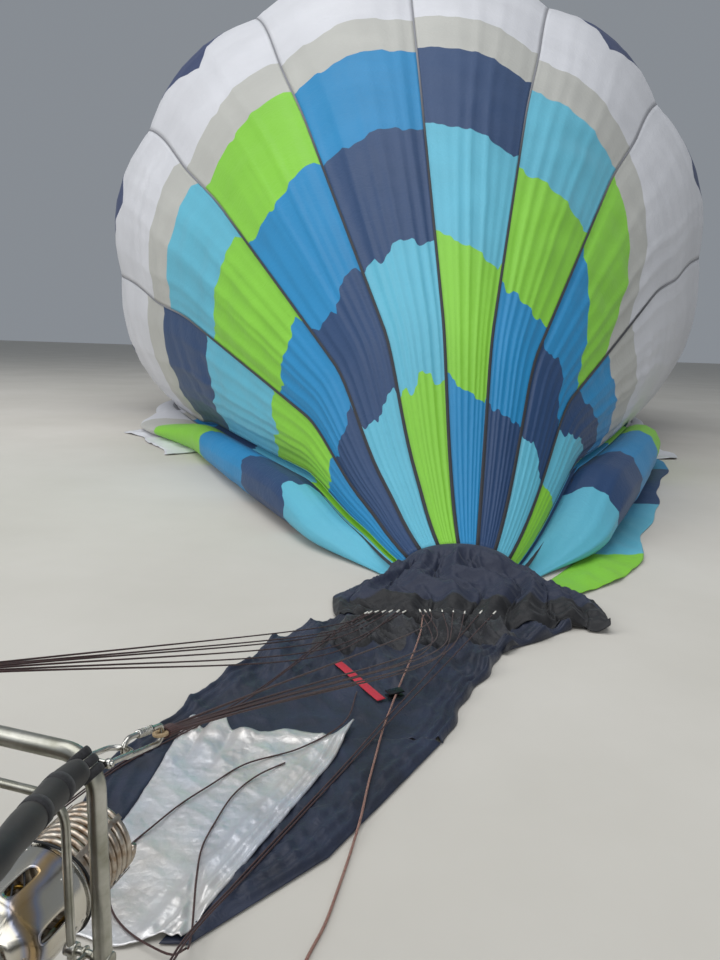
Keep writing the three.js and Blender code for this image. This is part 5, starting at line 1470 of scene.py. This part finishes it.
def vent_surface(u, v):
    t = mixed(crown_station(VENT_SEAT), CROWN_AT, v)
    turn = u * GORES
    points = np.zeros((len(u), 3))
    inward = np.zeros((len(u), 3))
    for g in range(GORES):
        chosen = (turn >= g) & (turn <= g + 1)
        across = np.clip(turn - g, 0, 1)
        points[chosen] = gore_surface(g, across, t)[chosen]
        inward[chosen] = -outward(g, np.clip(across, 0.1, 0.9), np.minimum(t, CROWN_AT - 0.05))[chosen]
    inward = np.where(v[:, None] > 0.97, np.array([0, -1.0, 0]), unit(inward))
    folds = np.zeros_like(u)
    draw = np.random.default_rng(77)
    for _ in range(VENT_FOLDS):
        at, wide = draw.uniform(0, 1), draw.uniform(0.006, 0.014)
        away = np.abs((u - at + 0.5) % 1 - 0.5)
        fold = np.exp(-((away / wide) ** 2)) * draw.uniform(0.4, 1.0)
        folds += fold * np.sin(math.pi * np.clip(v, 0, 1)) ** 0.8
    depth = VENT_DEPTH + VENT_FOLD * np.clip(folds, 0, 1.2) * np.clip((1 - v) * 3, 0, 1)
    return points + inward * depth[:, None] + np.array(MOUTH), np.stack([u, v], axis=-1)


shape, _ = grid_sheet(208, 30, vent_surface)
bmesh.ops.remove_doubles(shape, verts=shape.verts, dist=VENT_MERGED)
vent_area = cloth_area(shape)
vent = new_piece("vent_cap_cloth", shape, vent_cloth, "vent")
thicken(vent, VENT_WALL)
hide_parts("parachute_vent")

# Scoop: a wind shield of flame-proof aramid cloth below the mouth, here laid flat in folds towards the
# burners, with a heat panel of aluminised cloth at its foot. Cloth lies under every line that crosses it.
# Its rows are given from the middle of the mouth in metres: y, then x at the left and right edges.
SCOOP_ROWS = {
    "scoop_throat": [(-1.735, -1.545, -0.330), (-1.250, -1.340, -0.120), (-0.840, -1.150, 0.090),
                     (-0.4503, -0.880, 0.560)],
    "scoop_heat_panel": [(-2.780, -1.500, -1.140), (-1.7353, -1.400, -0.690)],
    "scoop_right_side": [(-2.780, -1.139, -1.120), (-2.430, -0.987, -0.760), (-2.060, -0.828, -0.530),
                         (-1.7353, -0.689, -0.330)],
    "scoop_left_side": [(-2.690, -1.560, -1.492), (-2.400, -1.620, -1.464), (-1.990, -1.640, -1.425),
                        (-1.7353, -1.545, -1.401)],
}
FOLD = {"width": 0.260, "lean": 0.35, "flat": 0.004, "gathered": 0.066, "shell": 0.010}
LEAN_ANGLE = math.atan(FOLD["lean"])
EDGE_FOLDS = ((0.022, 0.016, 1.0), (0.068, 0.020, 0.8), (0.125, 0.026, 0.55))
LOWEST = 0.004
# The lines' points are in millimetres from the middle of the mouth
LINES = {
    "near_top": [
        [(-288, -726, 140), (-270, -453, 100)], [(-310, -1024, 140), (-330, -453, 98)],
        [(-231, -992, 140), (-200, -453, 103)], [(-255, -1116, 140), (-130, -453, 105)],
        [(-270, -900, 128), (-300, -440, 92)], [(-205, -1040, 132), (-60, -440, 92)],
    ],
    "far_top": [
        [(-740, -743, 120), (-560, -452, 82)], [(-769, -871, 120), (-520, -453, 86)],
        [(-777, -951, 120), (-480, -453, 89)], [(-771, -1112, 120), (-440, -453, 92)],
        [(-752, -800, 112), (-600, -440, 74)], [(-776, -1030, 112), (-400, -440, 84)],
    ],
    "near_bottom": [
        [(-1125, -2874, 80), (-1019, -2557, 27), (-703, -1905, 25), (-557, -1620, 42), (-368, -1250, 50),
         (40, -453, 105)],
        [(-1117, -2877, 80), (-980, -2500, 26), (-660, -1850, 25), (-560, -1670, 38), (-300, -1200, 54),
         (120, -453, 104)],
    ],
    "far_bottom": [
        [(-1594, -2038, 22), (-1491, -1863, 24), (-1336, -1677, 26), (-1127, -1378, 38), (-800, -780, 86),
         (-622, -453, 75)],
        [(-1560, -2000, 22), (-1410, -1790, 24), (-1195, -1525, 35), (-1010, -1200, 56), (-740, -700, 86),
         (-600, -453, 77)],
    ],
}
SEATS = {"near_top": 0.0006, "far_top": 0.0006, "near_bottom": 0.0006, "far_bottom": -0.0002}
LINK = {"rod": 0.005, "half_length": 0.042, "half_width": 0.024, "clip_half_length": 0.062,
        "clip_half_width": 0.017}
KNOT = 0.014
LINE_RADIUS = 0.003
LINE_APART = 0.0065
LINE_STEP = 0.05


def corner_run(label):
    """Where a corner's hook is, the directions along, across and above its links, and its knot."""
    sx, sz = CORNERS[label]
    hook = np.array(BASKET_END @ Vector((sx * frame_corner, 0, sz * frame_corner)))
    along = unit(at_mouth(*LINES[label][0][0]) - hook)
    aside = unit(np.cross((0, 0, 1.0), along))
    shackle_at = FRAME_TUBE + SEATS[label] + LINK["rod"] + LINK["half_length"]
    clip_at = shackle_at + LINK["half_length"] + LINK["clip_half_length"] - LINK["rod"]
    knot = hook + along * (clip_at + LINK["clip_half_length"] + LINK["rod"] + KNOT - FACE_GAP)
    return hook, along, aside, np.cross(along, aside), shackle_at, clip_at, knot


rigging_lines = {}
for label in CORNERS:
    _, _, aside, _, _, _, knot = corner_run(label)
    lines = [[at_mouth(*point) for point in line] for line in LINES[label]]
    lines.sort(key=lambda line: unit(line[0] - knot) @ aside)
    paths = []
    for i, line in enumerate(lines):
        start = knot + aside * (i - (len(lines) - 1) / 2) * LINE_APART * 4 / max(len(lines), 4)
        paths.append(smooth_path([start, *line], LINE_STEP))
    rigging_lines[label] = paths
    line_points += [(path, LINE_RADIUS) for path in paths]

lines_below = np.vstack([np.column_stack([path[:, :2], path[:, 2] - radius]) for path, radius in line_points])


def under_lines(points):
    """Cloth is pressed down where a line lies on it, and rises again beside the line."""
    pressed = points.copy()
    for start in range(0, len(points), 4000):
        part = points[start : start + 4000]
        away = np.hypot(part[:, None, 0] - lines_below[None, :, 0], part[:, None, 1] - lines_below[None, :, 1])
        room = lines_below[None, :, 2] - 0.0012 + np.maximum(0, away - 0.014) * 0.9
        pressed[start : start + 4000, 2] = np.minimum(part[:, 2], np.maximum(room.min(axis=1), 0.003))
    return pressed


def on_ground(x, y, z):
    """Places in metres from the middle of the mouth, in the frame."""
    return np.stack([x + MOUTH.x, y + MOUTH.y, z], axis=-1)


def wrinkles(x, y, seed, size, main, spread=0.5, count=9):
    """Sharp-topped ridges that cross at different angles and fade in and out: from 0 to about 1."""
    draw = np.random.default_rng(seed)
    total = np.zeros_like(x)
    for _ in range(count):
        angle = main + draw.uniform(-spread, spread)
        pitch = size * draw.uniform(0.55, 1.8)
        across = x * math.cos(angle) + y * math.sin(angle)
        along = y * math.cos(angle) - x * math.sin(angle)
        phase, drift, gap = draw.uniform(0, 6), draw.uniform(0, 6), draw.uniform(1.2, 3.0)
        bend = 1.1 * np.sin(along / (pitch * 2.3) + drift) + 0.5 * np.sin(along / pitch + phase)
        ridge = (1 - np.abs(np.sin(math.pi * across / pitch + phase + bend))) ** 1.6
        gate = smoothstep(np.sin(along / (pitch * gap) + drift), -0.7, 0.8)
        total += ridge * gate * draw.uniform(0.4, 1.0)
    return total / (0.32 * count)


def scoop_place(node, v):
    """A panel's left edge, its width and y at a share of the way along it."""
    table = np.array(SCOOP_ROWS[node])
    y, left, right = [np.interp(v * (len(table) - 1), np.arange(len(table)), column) for column in table.T]
    return left, right - left, y


def scoop_wave(x, y):
    gathered = smoothstep(y, SCOOP_ROWS["scoop_throat"][0][0], SCOOP_ROWS["scoop_throat"][-1][0])
    wave = 0.5 - 0.5 * np.cos(2 * math.pi * (x + FOLD["lean"] * y) / FOLD["width"])
    return wave * mixed(FOLD["flat"], FOLD["gathered"], gathered) + FOLD["shell"], gathered


def edge_rolls(away, tall):
    """Parallel folds that lie along an edge: the cloth is rolled in there."""
    height = np.zeros_like(away)
    for at, wide, share in EDGE_FOLDS:
        height += tall * share * np.exp(-(((away - at) / wide) ** 2))
    return height


def throat_surface(u, v):
    left, wide, y = scoop_place("scoop_throat", v)
    x = left + wide * u
    top, gathered = scoop_wave(x, y)
    small = wrinkles(x, y, 11, 0.11, LEAN_ANGLE, 0.5)
    cross = wrinkles(x, y, 12, 0.30, LEAN_ANGLE + 1.4, 0.35, 5)
    z = (top - 0.006) * 0.92 + mixed(0.027, 0.040, gathered) * (small - 0.30) + 0.012 * cross
    fade = 0.4 + 0.6 * smoothstep(y, -0.55, -0.80)
    z = z + edge_rolls((1 - u) * wide, 0.030) * fade + edge_rolls(u * wide, 0.024) * fade
    edge = np.minimum(u, 1 - u) * wide
    z = mixed(LOWEST, np.maximum(z, LOWEST), smoothstep(edge, 0.0, 0.014))
    sway = 0.012 * np.sin(y * 11 + 1) + 0.008 * np.sin(y * 27)
    x = x + sway * smoothstep(np.abs(u - 0.5), 0.3, 0.5)
    return under_lines(on_ground(x, y, z)), np.stack([x, y], axis=-1)


def heat_surface(u, v):
    left, wide, y = scoop_place("scoop_heat_panel", v)
    x = left + wide * u
    peaks = 0.13 * np.exp(-(((u - 0.20) / 0.055) ** 2)) + 0.09 * np.exp(-(((u - 0.05) / 0.04) ** 2))
    peaks += 0.035 * np.exp(-(((u - 0.62) / 0.10) ** 2)) + 0.10 * smoothstep(u, 0.86, 1.0)
    y = y + (peaks + 0.012) * smoothstep(v, 0.80, 1.0)
    y = y + 0.018 * np.sin(9 * u) * smoothstep(1 - v, 0.9, 1.0)
    over = smoothstep(y, -1.79, -1.74)
    fine = wrinkles(x, y, 21, 0.055, 0.4, 1.2, 12)
    long_folds = wrinkles(x, y, 22, 0.20, LEAN_ANGLE + 0.25, 0.25, 5)
    z = 0.006 + 0.010 * long_folds + 0.0055 * fine + 0.009 * over
    z = z + 0.020 * smoothstep(v, 0.72, 0.98) * np.abs(np.sin(18 * u + 1)) * (1 - smoothstep(u, 0.35, 0.5))
    z = z + edge_rolls((1 - u) * wide + 0.012, 0.018)
    z = np.maximum(z, LOWEST + 0.014 * over)
    return under_lines(on_ground(x, y, z)), np.stack([x, y], axis=-1)


def side_surface(node, seed, tucked, lean):
    def surface(u, v):
        left, wide, y = scoop_place(node, v)
        x = left - tucked + (wide + tucked) * u
        near = 1 - u if tucked else u
        z = 0.009 + 0.013 * wrinkles(x, y, seed, 0.085, lean, 0.12, 6)
        z = z + 0.006 * wrinkles(x, y, seed + 1, 0.2, 1.2, 0.4, 5)
        z = z + edge_rolls(near * wide, 0.020) * smoothstep(wide, 0.03, 0.2)
        edge = np.minimum(u, 1 - u) * wide
        z = mixed(LOWEST, z, smoothstep(edge, 0.0, 0.012 + 0.6 * tucked) * 0.8 + 0.2)
        return under_lines(on_ground(x, y, z)), np.stack([x, y], axis=-1)

    return surface


def creased(tree, shader, place, size, twist, depth, strength, over=None):
    """Creases of a size and a depth in mm, laid over a finer relief if one is given."""
    lines = {"Vector": place, "Scale": 1000 / size, "Detail": 5.0, "Distortion": twist}
    relief = {"Height": add_node(tree, "ShaderNodeTexNoise", lines).outputs["Fac"]}
    relief.update({"Distance": depth / 1000, "Strength": strength})
    if over is not None:
        relief["Normal"] = over
    add_node(tree, "ShaderNodeBump", relief, to=shader.inputs["Normal"])


# Aramid cloth: dull navy dyed in the yarn, with a plain weave of 2 mm, coarser than life so that it shows, and
# creases 38 mm apart
scoop_cloth, tree, shader = new_finish("navy_aramid_cloth", 0x1A2236, 0.52, Sheen_Weight=0.10,
                                       Sheen_Roughness=0.45)
place, _ = mottle(tree, shader, 0x131A2B, 0x202A42, 220)
weave = add_node(tree, "ShaderNodeTexVoronoi", {"Vector": place, "Scale": 1000 / 2}).outputs["Distance"]
fine_relief = add_node(tree, "ShaderNodeBump", {"Height": weave, "Distance": 0.0003}).outputs["Normal"]
creased(tree, shader, place, 38.46, 1.2, 6, 0.5, fine_relief)

# Aluminised cloth: a metal film on glass cloth, which crinkles like foil into facets of 29 mm and 8 mm, with
# brownish scuffs of 160 mm and bluish patches of 450 mm
foil, tree, shader = new_finish("aluminised_glass_cloth", 0xECEDEF, 0.32, metallic=0.60)
place, scuffs = mottle(tree, shader, 0xF4F4F4, 0xD2C8BD, 160, 0, (0.24, 0.44))
patches = {"Vector": place, "Scale": 1000 / 454.5, "Detail": 2.0}
tint = add_node(tree, "ShaderNodeTexNoise", patches).outputs["Fac"]
bluish = add_node(tree, "ShaderNodeValToRGB", {"Fac": tint}, [(0.42, 0xDDDDDB), (0.62, 0xB9C6DA)])
blend = {"Factor": 0.45, 6: scuffs, 7: bluish.outputs["Color"]}
scuffed = add_node(tree, "ShaderNodeMix", blend, data_type="RGBA")
tree.links.new(scuffed.outputs[2], shader.inputs["Base Color"])
facets = {"Vector": place, "Scale": 1000 / 29.41}
crinkle = add_node(tree, "ShaderNodeTexVoronoi", facets, feature="DISTANCE_TO_EDGE").outputs["Distance"]
small_facets = {"Vector": place, "Scale": 1000 / 8.333, "Detail": 3.0, "Distortion": 2.0}
fine_crinkle = add_node(tree, "ShaderNodeTexNoise", small_facets).outputs["Fac"]
crinkled = add_node(tree, "ShaderNodeBump", {"Height": crinkle, "Distance": 0.004, "Strength": 0.35})
relief = {"Height": fine_crinkle, "Distance": 0.0012, "Strength": 0.6, "Normal": crinkled.outputs["Normal"]}
add_node(tree, "ShaderNodeBump", relief, to=shader.inputs["Normal"])


def laid_cloth(name, grid, surface, material, node, thickness=0.0025):
    """One sheet of cloth: its mesh, its thickness and what it stands for."""
    shape, _ = grid_sheet(*grid, surface)
    area = cloth_area(shape)
    piece = new_piece(name, shape, material)
    thicken(piece, thickness)
    if node:
        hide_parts(node)


laid_cloth("throat_cloth", (140, 100), throat_surface, scoop_cloth, "scoop_throat")
laid_cloth("heat_panel_foil", (110, 125), heat_surface, foil, "scoop_heat_panel")
laid_cloth("right_side_cloth", (40, 110), side_surface("scoop_right_side", 31, 0.06, 0.42), scoop_cloth,
           "scoop_right_side")
laid_cloth("left_side_cloth", (24, 100), side_surface("scoop_left_side", 41, 0.0, 0.1), scoop_cloth,
           "scoop_left_side")

# Mouth: the lowest row of the envelope is flame-proof cloth too. It has slumped to the ground in heavy folds,
# navy where it joins the gores and black along its hem, which lies in ruffles over the scoop's throat.
MOUTH_HEM = -0.455
HEM_REACH = 0.17
MOUTH_FOLDS = 8
# Aramid cloth: dull, with creases 42 mm apart
mouth_aramid, tree, shader = new_finish("black_and_navy_aramid_cloth", 0x171B26, 0.6, Sheen_Weight=0.1)
uv = add_node(tree, "ShaderNodeUVMap", uv_map="cloth").outputs["UV"]
to_hem = add_node(tree, "ShaderNodeSeparateXYZ", {"Vector": uv}).outputs["Y"]
hem_line = [(0.70, 0x18223A), (0.72, 0x0C0D12)]
add_node(tree, "ShaderNodeValToRGB", {"Fac": to_hem}, hem_line, shader.inputs["Base Color"])
creased(tree, shader, add_node(tree, "ShaderNodeTexCoord").outputs["Object"], 41.67, 1.6, 8, 0.5)


def sharp_fold(at):
    """A row of folds with narrow crests: 1 on each whole number, 0 half way between."""
    return (1 - np.abs(np.sin(math.pi * at))) ** 1.5


def mouth_surface(u, v):
    angle = mixed(-1, 1, u)
    quarter_turn = angle * math.pi / 2
    middle = np.exp(-((angle + 0.15) ** 2) / 0.22)
    hem = MOUTH_HEM - HEM_REACH * middle * (0.65 + 0.35 * np.sin(13 * u + 1)) - 0.02 * np.sin(31 * u)
    hem = hem + 0.30 * smoothstep(np.abs(angle), 0.72, 1.0) ** 2
    y = mixed(MOUTH_END, hem, v)
    gore_end = section(np.full_like(u, MOUTH_END))
    joined_to = wall_point(gore_end, angle * gore_end[5] * 0.98) * np.array([[1.0], [MOUTH_SLUMP]])
    half = mixed(0.50, 0.82, smoothstep(v, 0.02, 0.75))
    top = mixed(0.27, 0.15, smoothstep(v, 0.0, 0.34)) * mixed(1.0, 0.50, smoothstep(v, 0.4, 0.95))
    slumped_x = half * np.sin(quarter_turn * 0.999)
    slumped_z = top * np.maximum(np.cos(quarter_turn * 0.999), 0) ** 0.7
    drop = smoothstep(v, 0.0, 0.16)
    x = mixed(joined_to[0], slumped_x, drop)
    z = mixed(joined_to[1], slumped_z, drop)
    wander = 0.5 * np.sin(3.1 * v + 5 * u) + 0.25 * np.sin(9 * v + 11 * u)
    big = sharp_fold(MOUTH_FOLDS * u + wander)
    small = sharp_fold(2.7 * MOUTH_FOLDS * u + 1.7 * wander + 2 * v)
    cross = wrinkles(x, y, 52, 0.13, 1.2, 0.8, 8)
    reach = smoothstep(v, 0.02, 0.22) * (0.30 + 0.70 * np.cos(quarter_turn))
    z = z + reach * (0.085 * (big - 0.30) * mixed(1.0, 0.8, v) + 0.028 * small + 0.035 * (cross - 0.3))
    x = x + 0.030 * np.sin(2 * math.pi * (MOUTH_FOLDS * u + wander)) * smoothstep(v, 0.0, 0.3)
    y = y + 0.020 * np.sin(17 * u + 3) * smoothstep(v, 0.75, 1.0)
    under, _ = scoop_wave(x, y)
    on_scoop = smoothstep(y, -0.43, -0.47)
    lowest = np.where(y < -0.44, under + 0.003, LOWEST)
    z = mixed(np.maximum(z, lowest), lowest - 0.006 * on_scoop, smoothstep(v, 0.94, 1.0))
    return under_lines(on_ground(x, y, np.maximum(z, LOWEST))), np.stack([u, v], axis=-1)


laid_cloth("mouth_cloth", (180, 90), mouth_surface, mouth_aramid, "mouth_band")

# Ruffles: two loose bunches of the hem's black cloth that lie on the scoop's throat. Each has its place on the
# ground, from and to in x and then in y, its height and its seed.
RUFFLES = [
    ("mouth_hem_left", (-0.92, -0.30, -0.90, -0.47), 0.085, 61),
    ("mouth_hem_middle", (-0.40, 0.16, -0.84, -0.50), 0.090, 62),
]
# Aramid cloth: dull black, with creases 33 mm apart
black_aramid, tree, shader = new_finish("black_aramid_cloth", 0x121318, 0.55, Sheen_Weight=0.15)
place, _ = mottle(tree, shader, 0x0D0E12, 0x20222A, 100)
creased(tree, shader, place, 33.33, 1.6, 8, 0.6)
for name, (low_x, high_x, low_y, high_y), tall, seed in RUFFLES:

    def ruffle_surface(u, v):
        x = mixed(low_x, high_x, u) + 0.06 * np.sin(5 * v + seed)
        y = mixed(low_y, high_y, v) + 0.06 * np.sin(4 * u + seed)
        top, _ = scoop_wave(x, y)
        heap = (np.sin(math.pi * u) * np.sin(math.pi * v)) ** 0.5
        folds = sharp_fold((x + 0.55 * y) / 0.075 + 0.6 * np.sin(14 * y + seed))
        z = top + 0.003 + tall * heap * (0.20 + 0.55 * folds + 0.35 * wrinkles(x, y, seed, 0.10, seed, 0.8, 9))
        z = mixed(0.75 * top - 0.012, z, smoothstep(heap, 0, 0.55))
        return under_lines(on_ground(x, y, np.maximum(z, 0.003))), np.stack([u, v], axis=-1)

    laid_cloth(name, (76, 58), ruffle_surface, black_aramid, None)

# Suspension lines: braided aramid from each corner's knot to the mouth, where each ends in a white sleeve.
# They are whipped together at the knot, and an eye of tan cord holds the carabiner.
WHIPPING = {"turns": 6, "pitch": 0.005, "from": -0.010, "half_width": LINE_APART * 2.1, "half_height": 0.0085}
THIMBLE = {"behind": 0.010, "open": 0.3, "half_length": 0.016, "half_width": 0.0095, "radius": 0.0042}
SLEEVED = (0.012, 0.058, 0.0046)
# White sleeve: satin, yellowed in patches of 20 mm
white_sleeve, tree, shader = new_finish("white_heat_shrink_sleeve", 0xE6E4DC, 0.45)
mottle(tree, shader, 0xEDEBE3, 0xCFCBBF, 20, 0.2)
# Whipping cord: dull tan strands of 4 mm
thimble_cord, tree, shader = new_finish("tan_whipping_cord", 0xB39B78, 0.8)
mottle(tree, shader, 0xC4AD8A, 0x8F7653, 4, 0.4)
for label, paths in rigging_lines.items():
    _, along, aside, above_way, _, _, knot = corner_run(label)
    parts = [rod(path, LINE_RADIUS, 8) for path in paths]
    for i in range(WHIPPING["turns"]):
        middle = knot + along * (WHIPPING["pitch"] * i + WHIPPING["from"])
        loop = circle(24, middle, aside * WHIPPING["half_width"], above_way * WHIPPING["half_height"])
        parts.append(rod(loop, 0.0030, 8, closed=True))
    lines_piece = new_piece(f"braided_lines_{label}", joined(*parts), aramid_line)
    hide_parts(f"suspension_lines_{label}")
    eye = knot - along * (KNOT + THIMBLE["behind"])
    turns = np.linspace(2 * math.pi - THIMBLE["open"], THIMBLE["open"], 28)
    bow = eye + np.outer(np.cos(turns), along * THIMBLE["half_length"])
    bow += np.outer(np.sin(turns), aside * THIMBLE["half_width"])
    thimble = new_piece(f"line_thimble_{label}", rod(bow, THIMBLE["radius"], 8), thimble_cord)
    sleeves = []
    for path in paths:
        back = unit(path[-4] - path[-1])
        sleeves.append(bar(path[-1] + back * SLEEVED[0], path[-1] + back * SLEEVED[1], SLEEVED[2], 12))
    sleeve_piece = new_piece(f"line_sleeves_{label}", joined(*sleeves), white_sleeve)

# Corner links: a forged bow shackle round the corner strap, with a pin through its two eyes, and a long steel
# carabiner with a knurled gate, which holds the lines.
PIN_BACK = LINK["half_length"] - 0.004
PIN_PARTS = ((-0.034, 0.033, 0.0046, 14), (0.0300, 0.0360, 0.0085, 14))
EYE = {"half": 0.0052, "radius": 0.0082}
GATE = {"from": 0.024, "to": 0.022, "radius": 0.0078, "knurl": 0.0079}
for label in CORNERS:
    hook, along, aside, above_way, shackle_at, clip_at, _ = corner_run(label)
    centre = hook + along * shackle_at
    legs_to = LINK["half_length"] - LINK["half_width"]
    leg = np.linspace(-PIN_BACK, legs_to, 8)
    turns = np.linspace(-math.pi / 2, math.pi / 2, 17)[1:-1]
    reach = np.concatenate([leg, legs_to + LINK["half_width"] * np.cos(turns), leg[::-1]])
    wide = LINK["half_width"] * np.concatenate([np.full(8, -1), np.sin(turns), np.full(8, 1)])
    parts = [rod(centre + np.outer(reach, along) + np.outer(wide, aside), LINK["rod"], 14)]
    pin_at = centre - along * PIN_BACK
    for start, end, radius, sides in PIN_PARTS:
        parts.append(bar(pin_at + aside * start, pin_at + aside * end, radius, sides))
    for way in (-1, 1):
        eye = pin_at + aside * way * LINK["half_width"]
        parts.append(bar(eye - aside * EYE["half"], eye + aside * EYE["half"], EYE["radius"], 18))
    centre = hook + along * clip_at
    turns = np.linspace(-math.pi / 2, math.pi / 2, 15)
    reach = LINK["clip_half_length"] - LINK["clip_half_width"] + LINK["clip_half_width"] * np.cos(turns)
    half_clip = np.outer(reach, along) + np.outer(LINK["clip_half_width"] * np.sin(turns), above_way)
    parts.append(rod(centre + np.vstack([half_clip, -half_clip]), LINK["rod"], 14, closed=True))
    gate = centre + above_way * LINK["clip_half_width"]
    parts.append(bar(gate - along * GATE["from"], gate + along * GATE["to"], GATE["radius"], 20))
    for ring_at in np.linspace(-0.016, 0.014, 7):
        knurl = circle(20, gate + along * ring_at, above_way * GATE["knurl"], aside * GATE["knurl"])
        parts.append(rod(knurl, 0.0008, 6, closed=True))
    links = new_piece(f"shackle_and_carabiner_{label}", joined(*parts), bright_steel)
    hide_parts(f"corner_links_{label}")

# Trim on the scoop: a red webbing strap sewn to the throat, by which it is lifted, and a small black pulley
# for the vent line. Both lie on the folds of the throat.
RED_STRAP = [(-785, -1098, 0), (-708, -1204, 0), (-640, -1300, 0), (-569, -1408, 0)]
PULLEY_AT = (-0.509, -1.375)
PULLEY_CHEEK = (0.078, 0.046, 0.006)
PULLEY_WHEEL = [(0, -0.006), (0.020, -0.006), (0.014, 0), (0.020, 0.006), (0, 0.006)]
# Red webbing: dull, with a weave of 6 mm, coarser than life so that it shows
red_webbing, tree, shader = new_finish("red_webbing", 0xB81A30, 0.65, Sheen_Weight=0.1)
mottle(tree, shader, 0xAE162B, 0xC42A40, 6, 0.5)
red_path = smooth_path([at_mouth(*point) for point in RED_STRAP], 0.02)
red_path[:, 2] = scoop_wave(red_path[:, 0] - MOUTH.x, red_path[:, 1] - MOUTH.y)[0] + 0.007
red_rod = rod(under_lines(red_path), 0.024, 10, flat=0.07, start=(1, 0.6, 0))
red_strap = new_piece("red_lifting_strap", red_rod, red_webbing)
pulley_top = float(scoop_wave(*PULLEY_AT)[0])
pulley_place = MOUTH + Vector((*PULLEY_AT, pulley_top + 0.020))
pulley_turn = Matrix.Translation(pulley_place) @ Matrix.Rotation(0.5, 4, "Z")
pulley_parts = [
    bevelled_box(PULLEY_CHEEK, 0.0015, (0, 0, 0.010)),
    bevelled_box(PULLEY_CHEEK, 0.0015, (0, 0, -0.010)),
    moved(turned(PULLEY_WHEEL, 32), Matrix.Rotation(math.pi / 2, 4, "X")),
    bar((-0.028, 0, -0.014), (-0.028, 0, 0.015), 0.004, 12),
    bar((0, 0, -0.014), (0, 0, 0.015), 0.005, 12),
]
pulley = new_piece("vent_line_pulley", joined(*pulley_parts), anodised, place=pulley_turn)

# Loose cloth beside the feet: a lime and light blue fold of gore cloth past the right roll, and two white
# tails further back. All three lie on the ground, in long wrinkles.
LOOSE_FOLD = {"from": 0.12, "to": 8.2, "height": 0.05, "small": 0.010}
LOOSE_EDGE = {
    "at": [0.12, 0.5, 1.0, 1.8, 3.0, 6.4, 8.2],
    "out": [0.10, 0.26, 0.30, 0.17, 0.10, 0.10, 0.03],
}
LEFT_TAIL = [(-3.37, 5.53), (-4.64, 7.9), (-4.06, 9.19), (-2.7, 6.6)]
RIGHT_TAIL = [(3.5, 6.2), (4.35, 7.0), (4.6, 8.6), (4.0, 8.4)]


def loose_fold_surface(u, v):
    y = mixed(LOOSE_FOLD["from"], LOOSE_FOLD["to"], v**1.3)
    middle = foot(y, 1)[3]
    outer = middle + roll_size(y, 1, "width") + np.interp(y, LOOSE_EDGE["at"], LOOSE_EDGE["out"])
    inner = middle + 0.3 * roll_size(y, 1, "width")
    x = mixed(inner, outer + 0.04 * np.sin(2.3 * y + 1) + 0.015 * np.sin(6.1 * y), u)
    height = mixed(LOOSE_FOLD["small"], LOOSE_FOLD["height"], smoothstep(3.0 - y, 0, 2.4))
    z = 0.006 + height * wrinkles(x, y, 71, 0.28, 0.3, 0.9, 8) * smoothstep(u, 0, 0.5)
    return on_ground(x, y, z), np.stack([u * 0.2, (y + 0.9) / CLOTH_LENGTH], axis=-1)


def tail_surface(corners, seed):
    corners = np.array(corners)

    def surface(u, v):
        near, far = mixed(corners[0], corners[1], u[:, None]), mixed(corners[3], corners[2], u[:, None])
        x, y = mixed(near, far, v[:, None]).T
        x = x + 0.10 * np.sin(6 * v + seed) * (1 - v) + 0.06 * np.sin(11 * u)
        y = y + 0.12 * np.sin(5 * u + seed)
        rise = np.sin(math.pi * np.clip(u, 0.05, 0.95)) ** 0.5
        z = 0.006 + 0.10 * wrinkles(x, y, seed, 0.7, 0.8, 0.8, 8) * rise
        return on_ground(x, y, z), np.stack([u, v], axis=-1)

    return surface


LOOSE_CLOTH = [
    ("right_loose_fold", (28, 130), loose_fold_surface, gore_cloths[3], 0.8),
    ("left_white_tail", (44, 44), tail_surface(LEFT_TAIL, 81), vent_cloth, 0.6),
    ("right_white_tail", (36, 36), tail_surface(RIGHT_TAIL, 82), vent_cloth, 0.6),
]
for name, grid, surface, material, share in LOOSE_CLOTH:
    laid_cloth(name, grid, surface, material, None, CLOTH)

low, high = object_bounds()
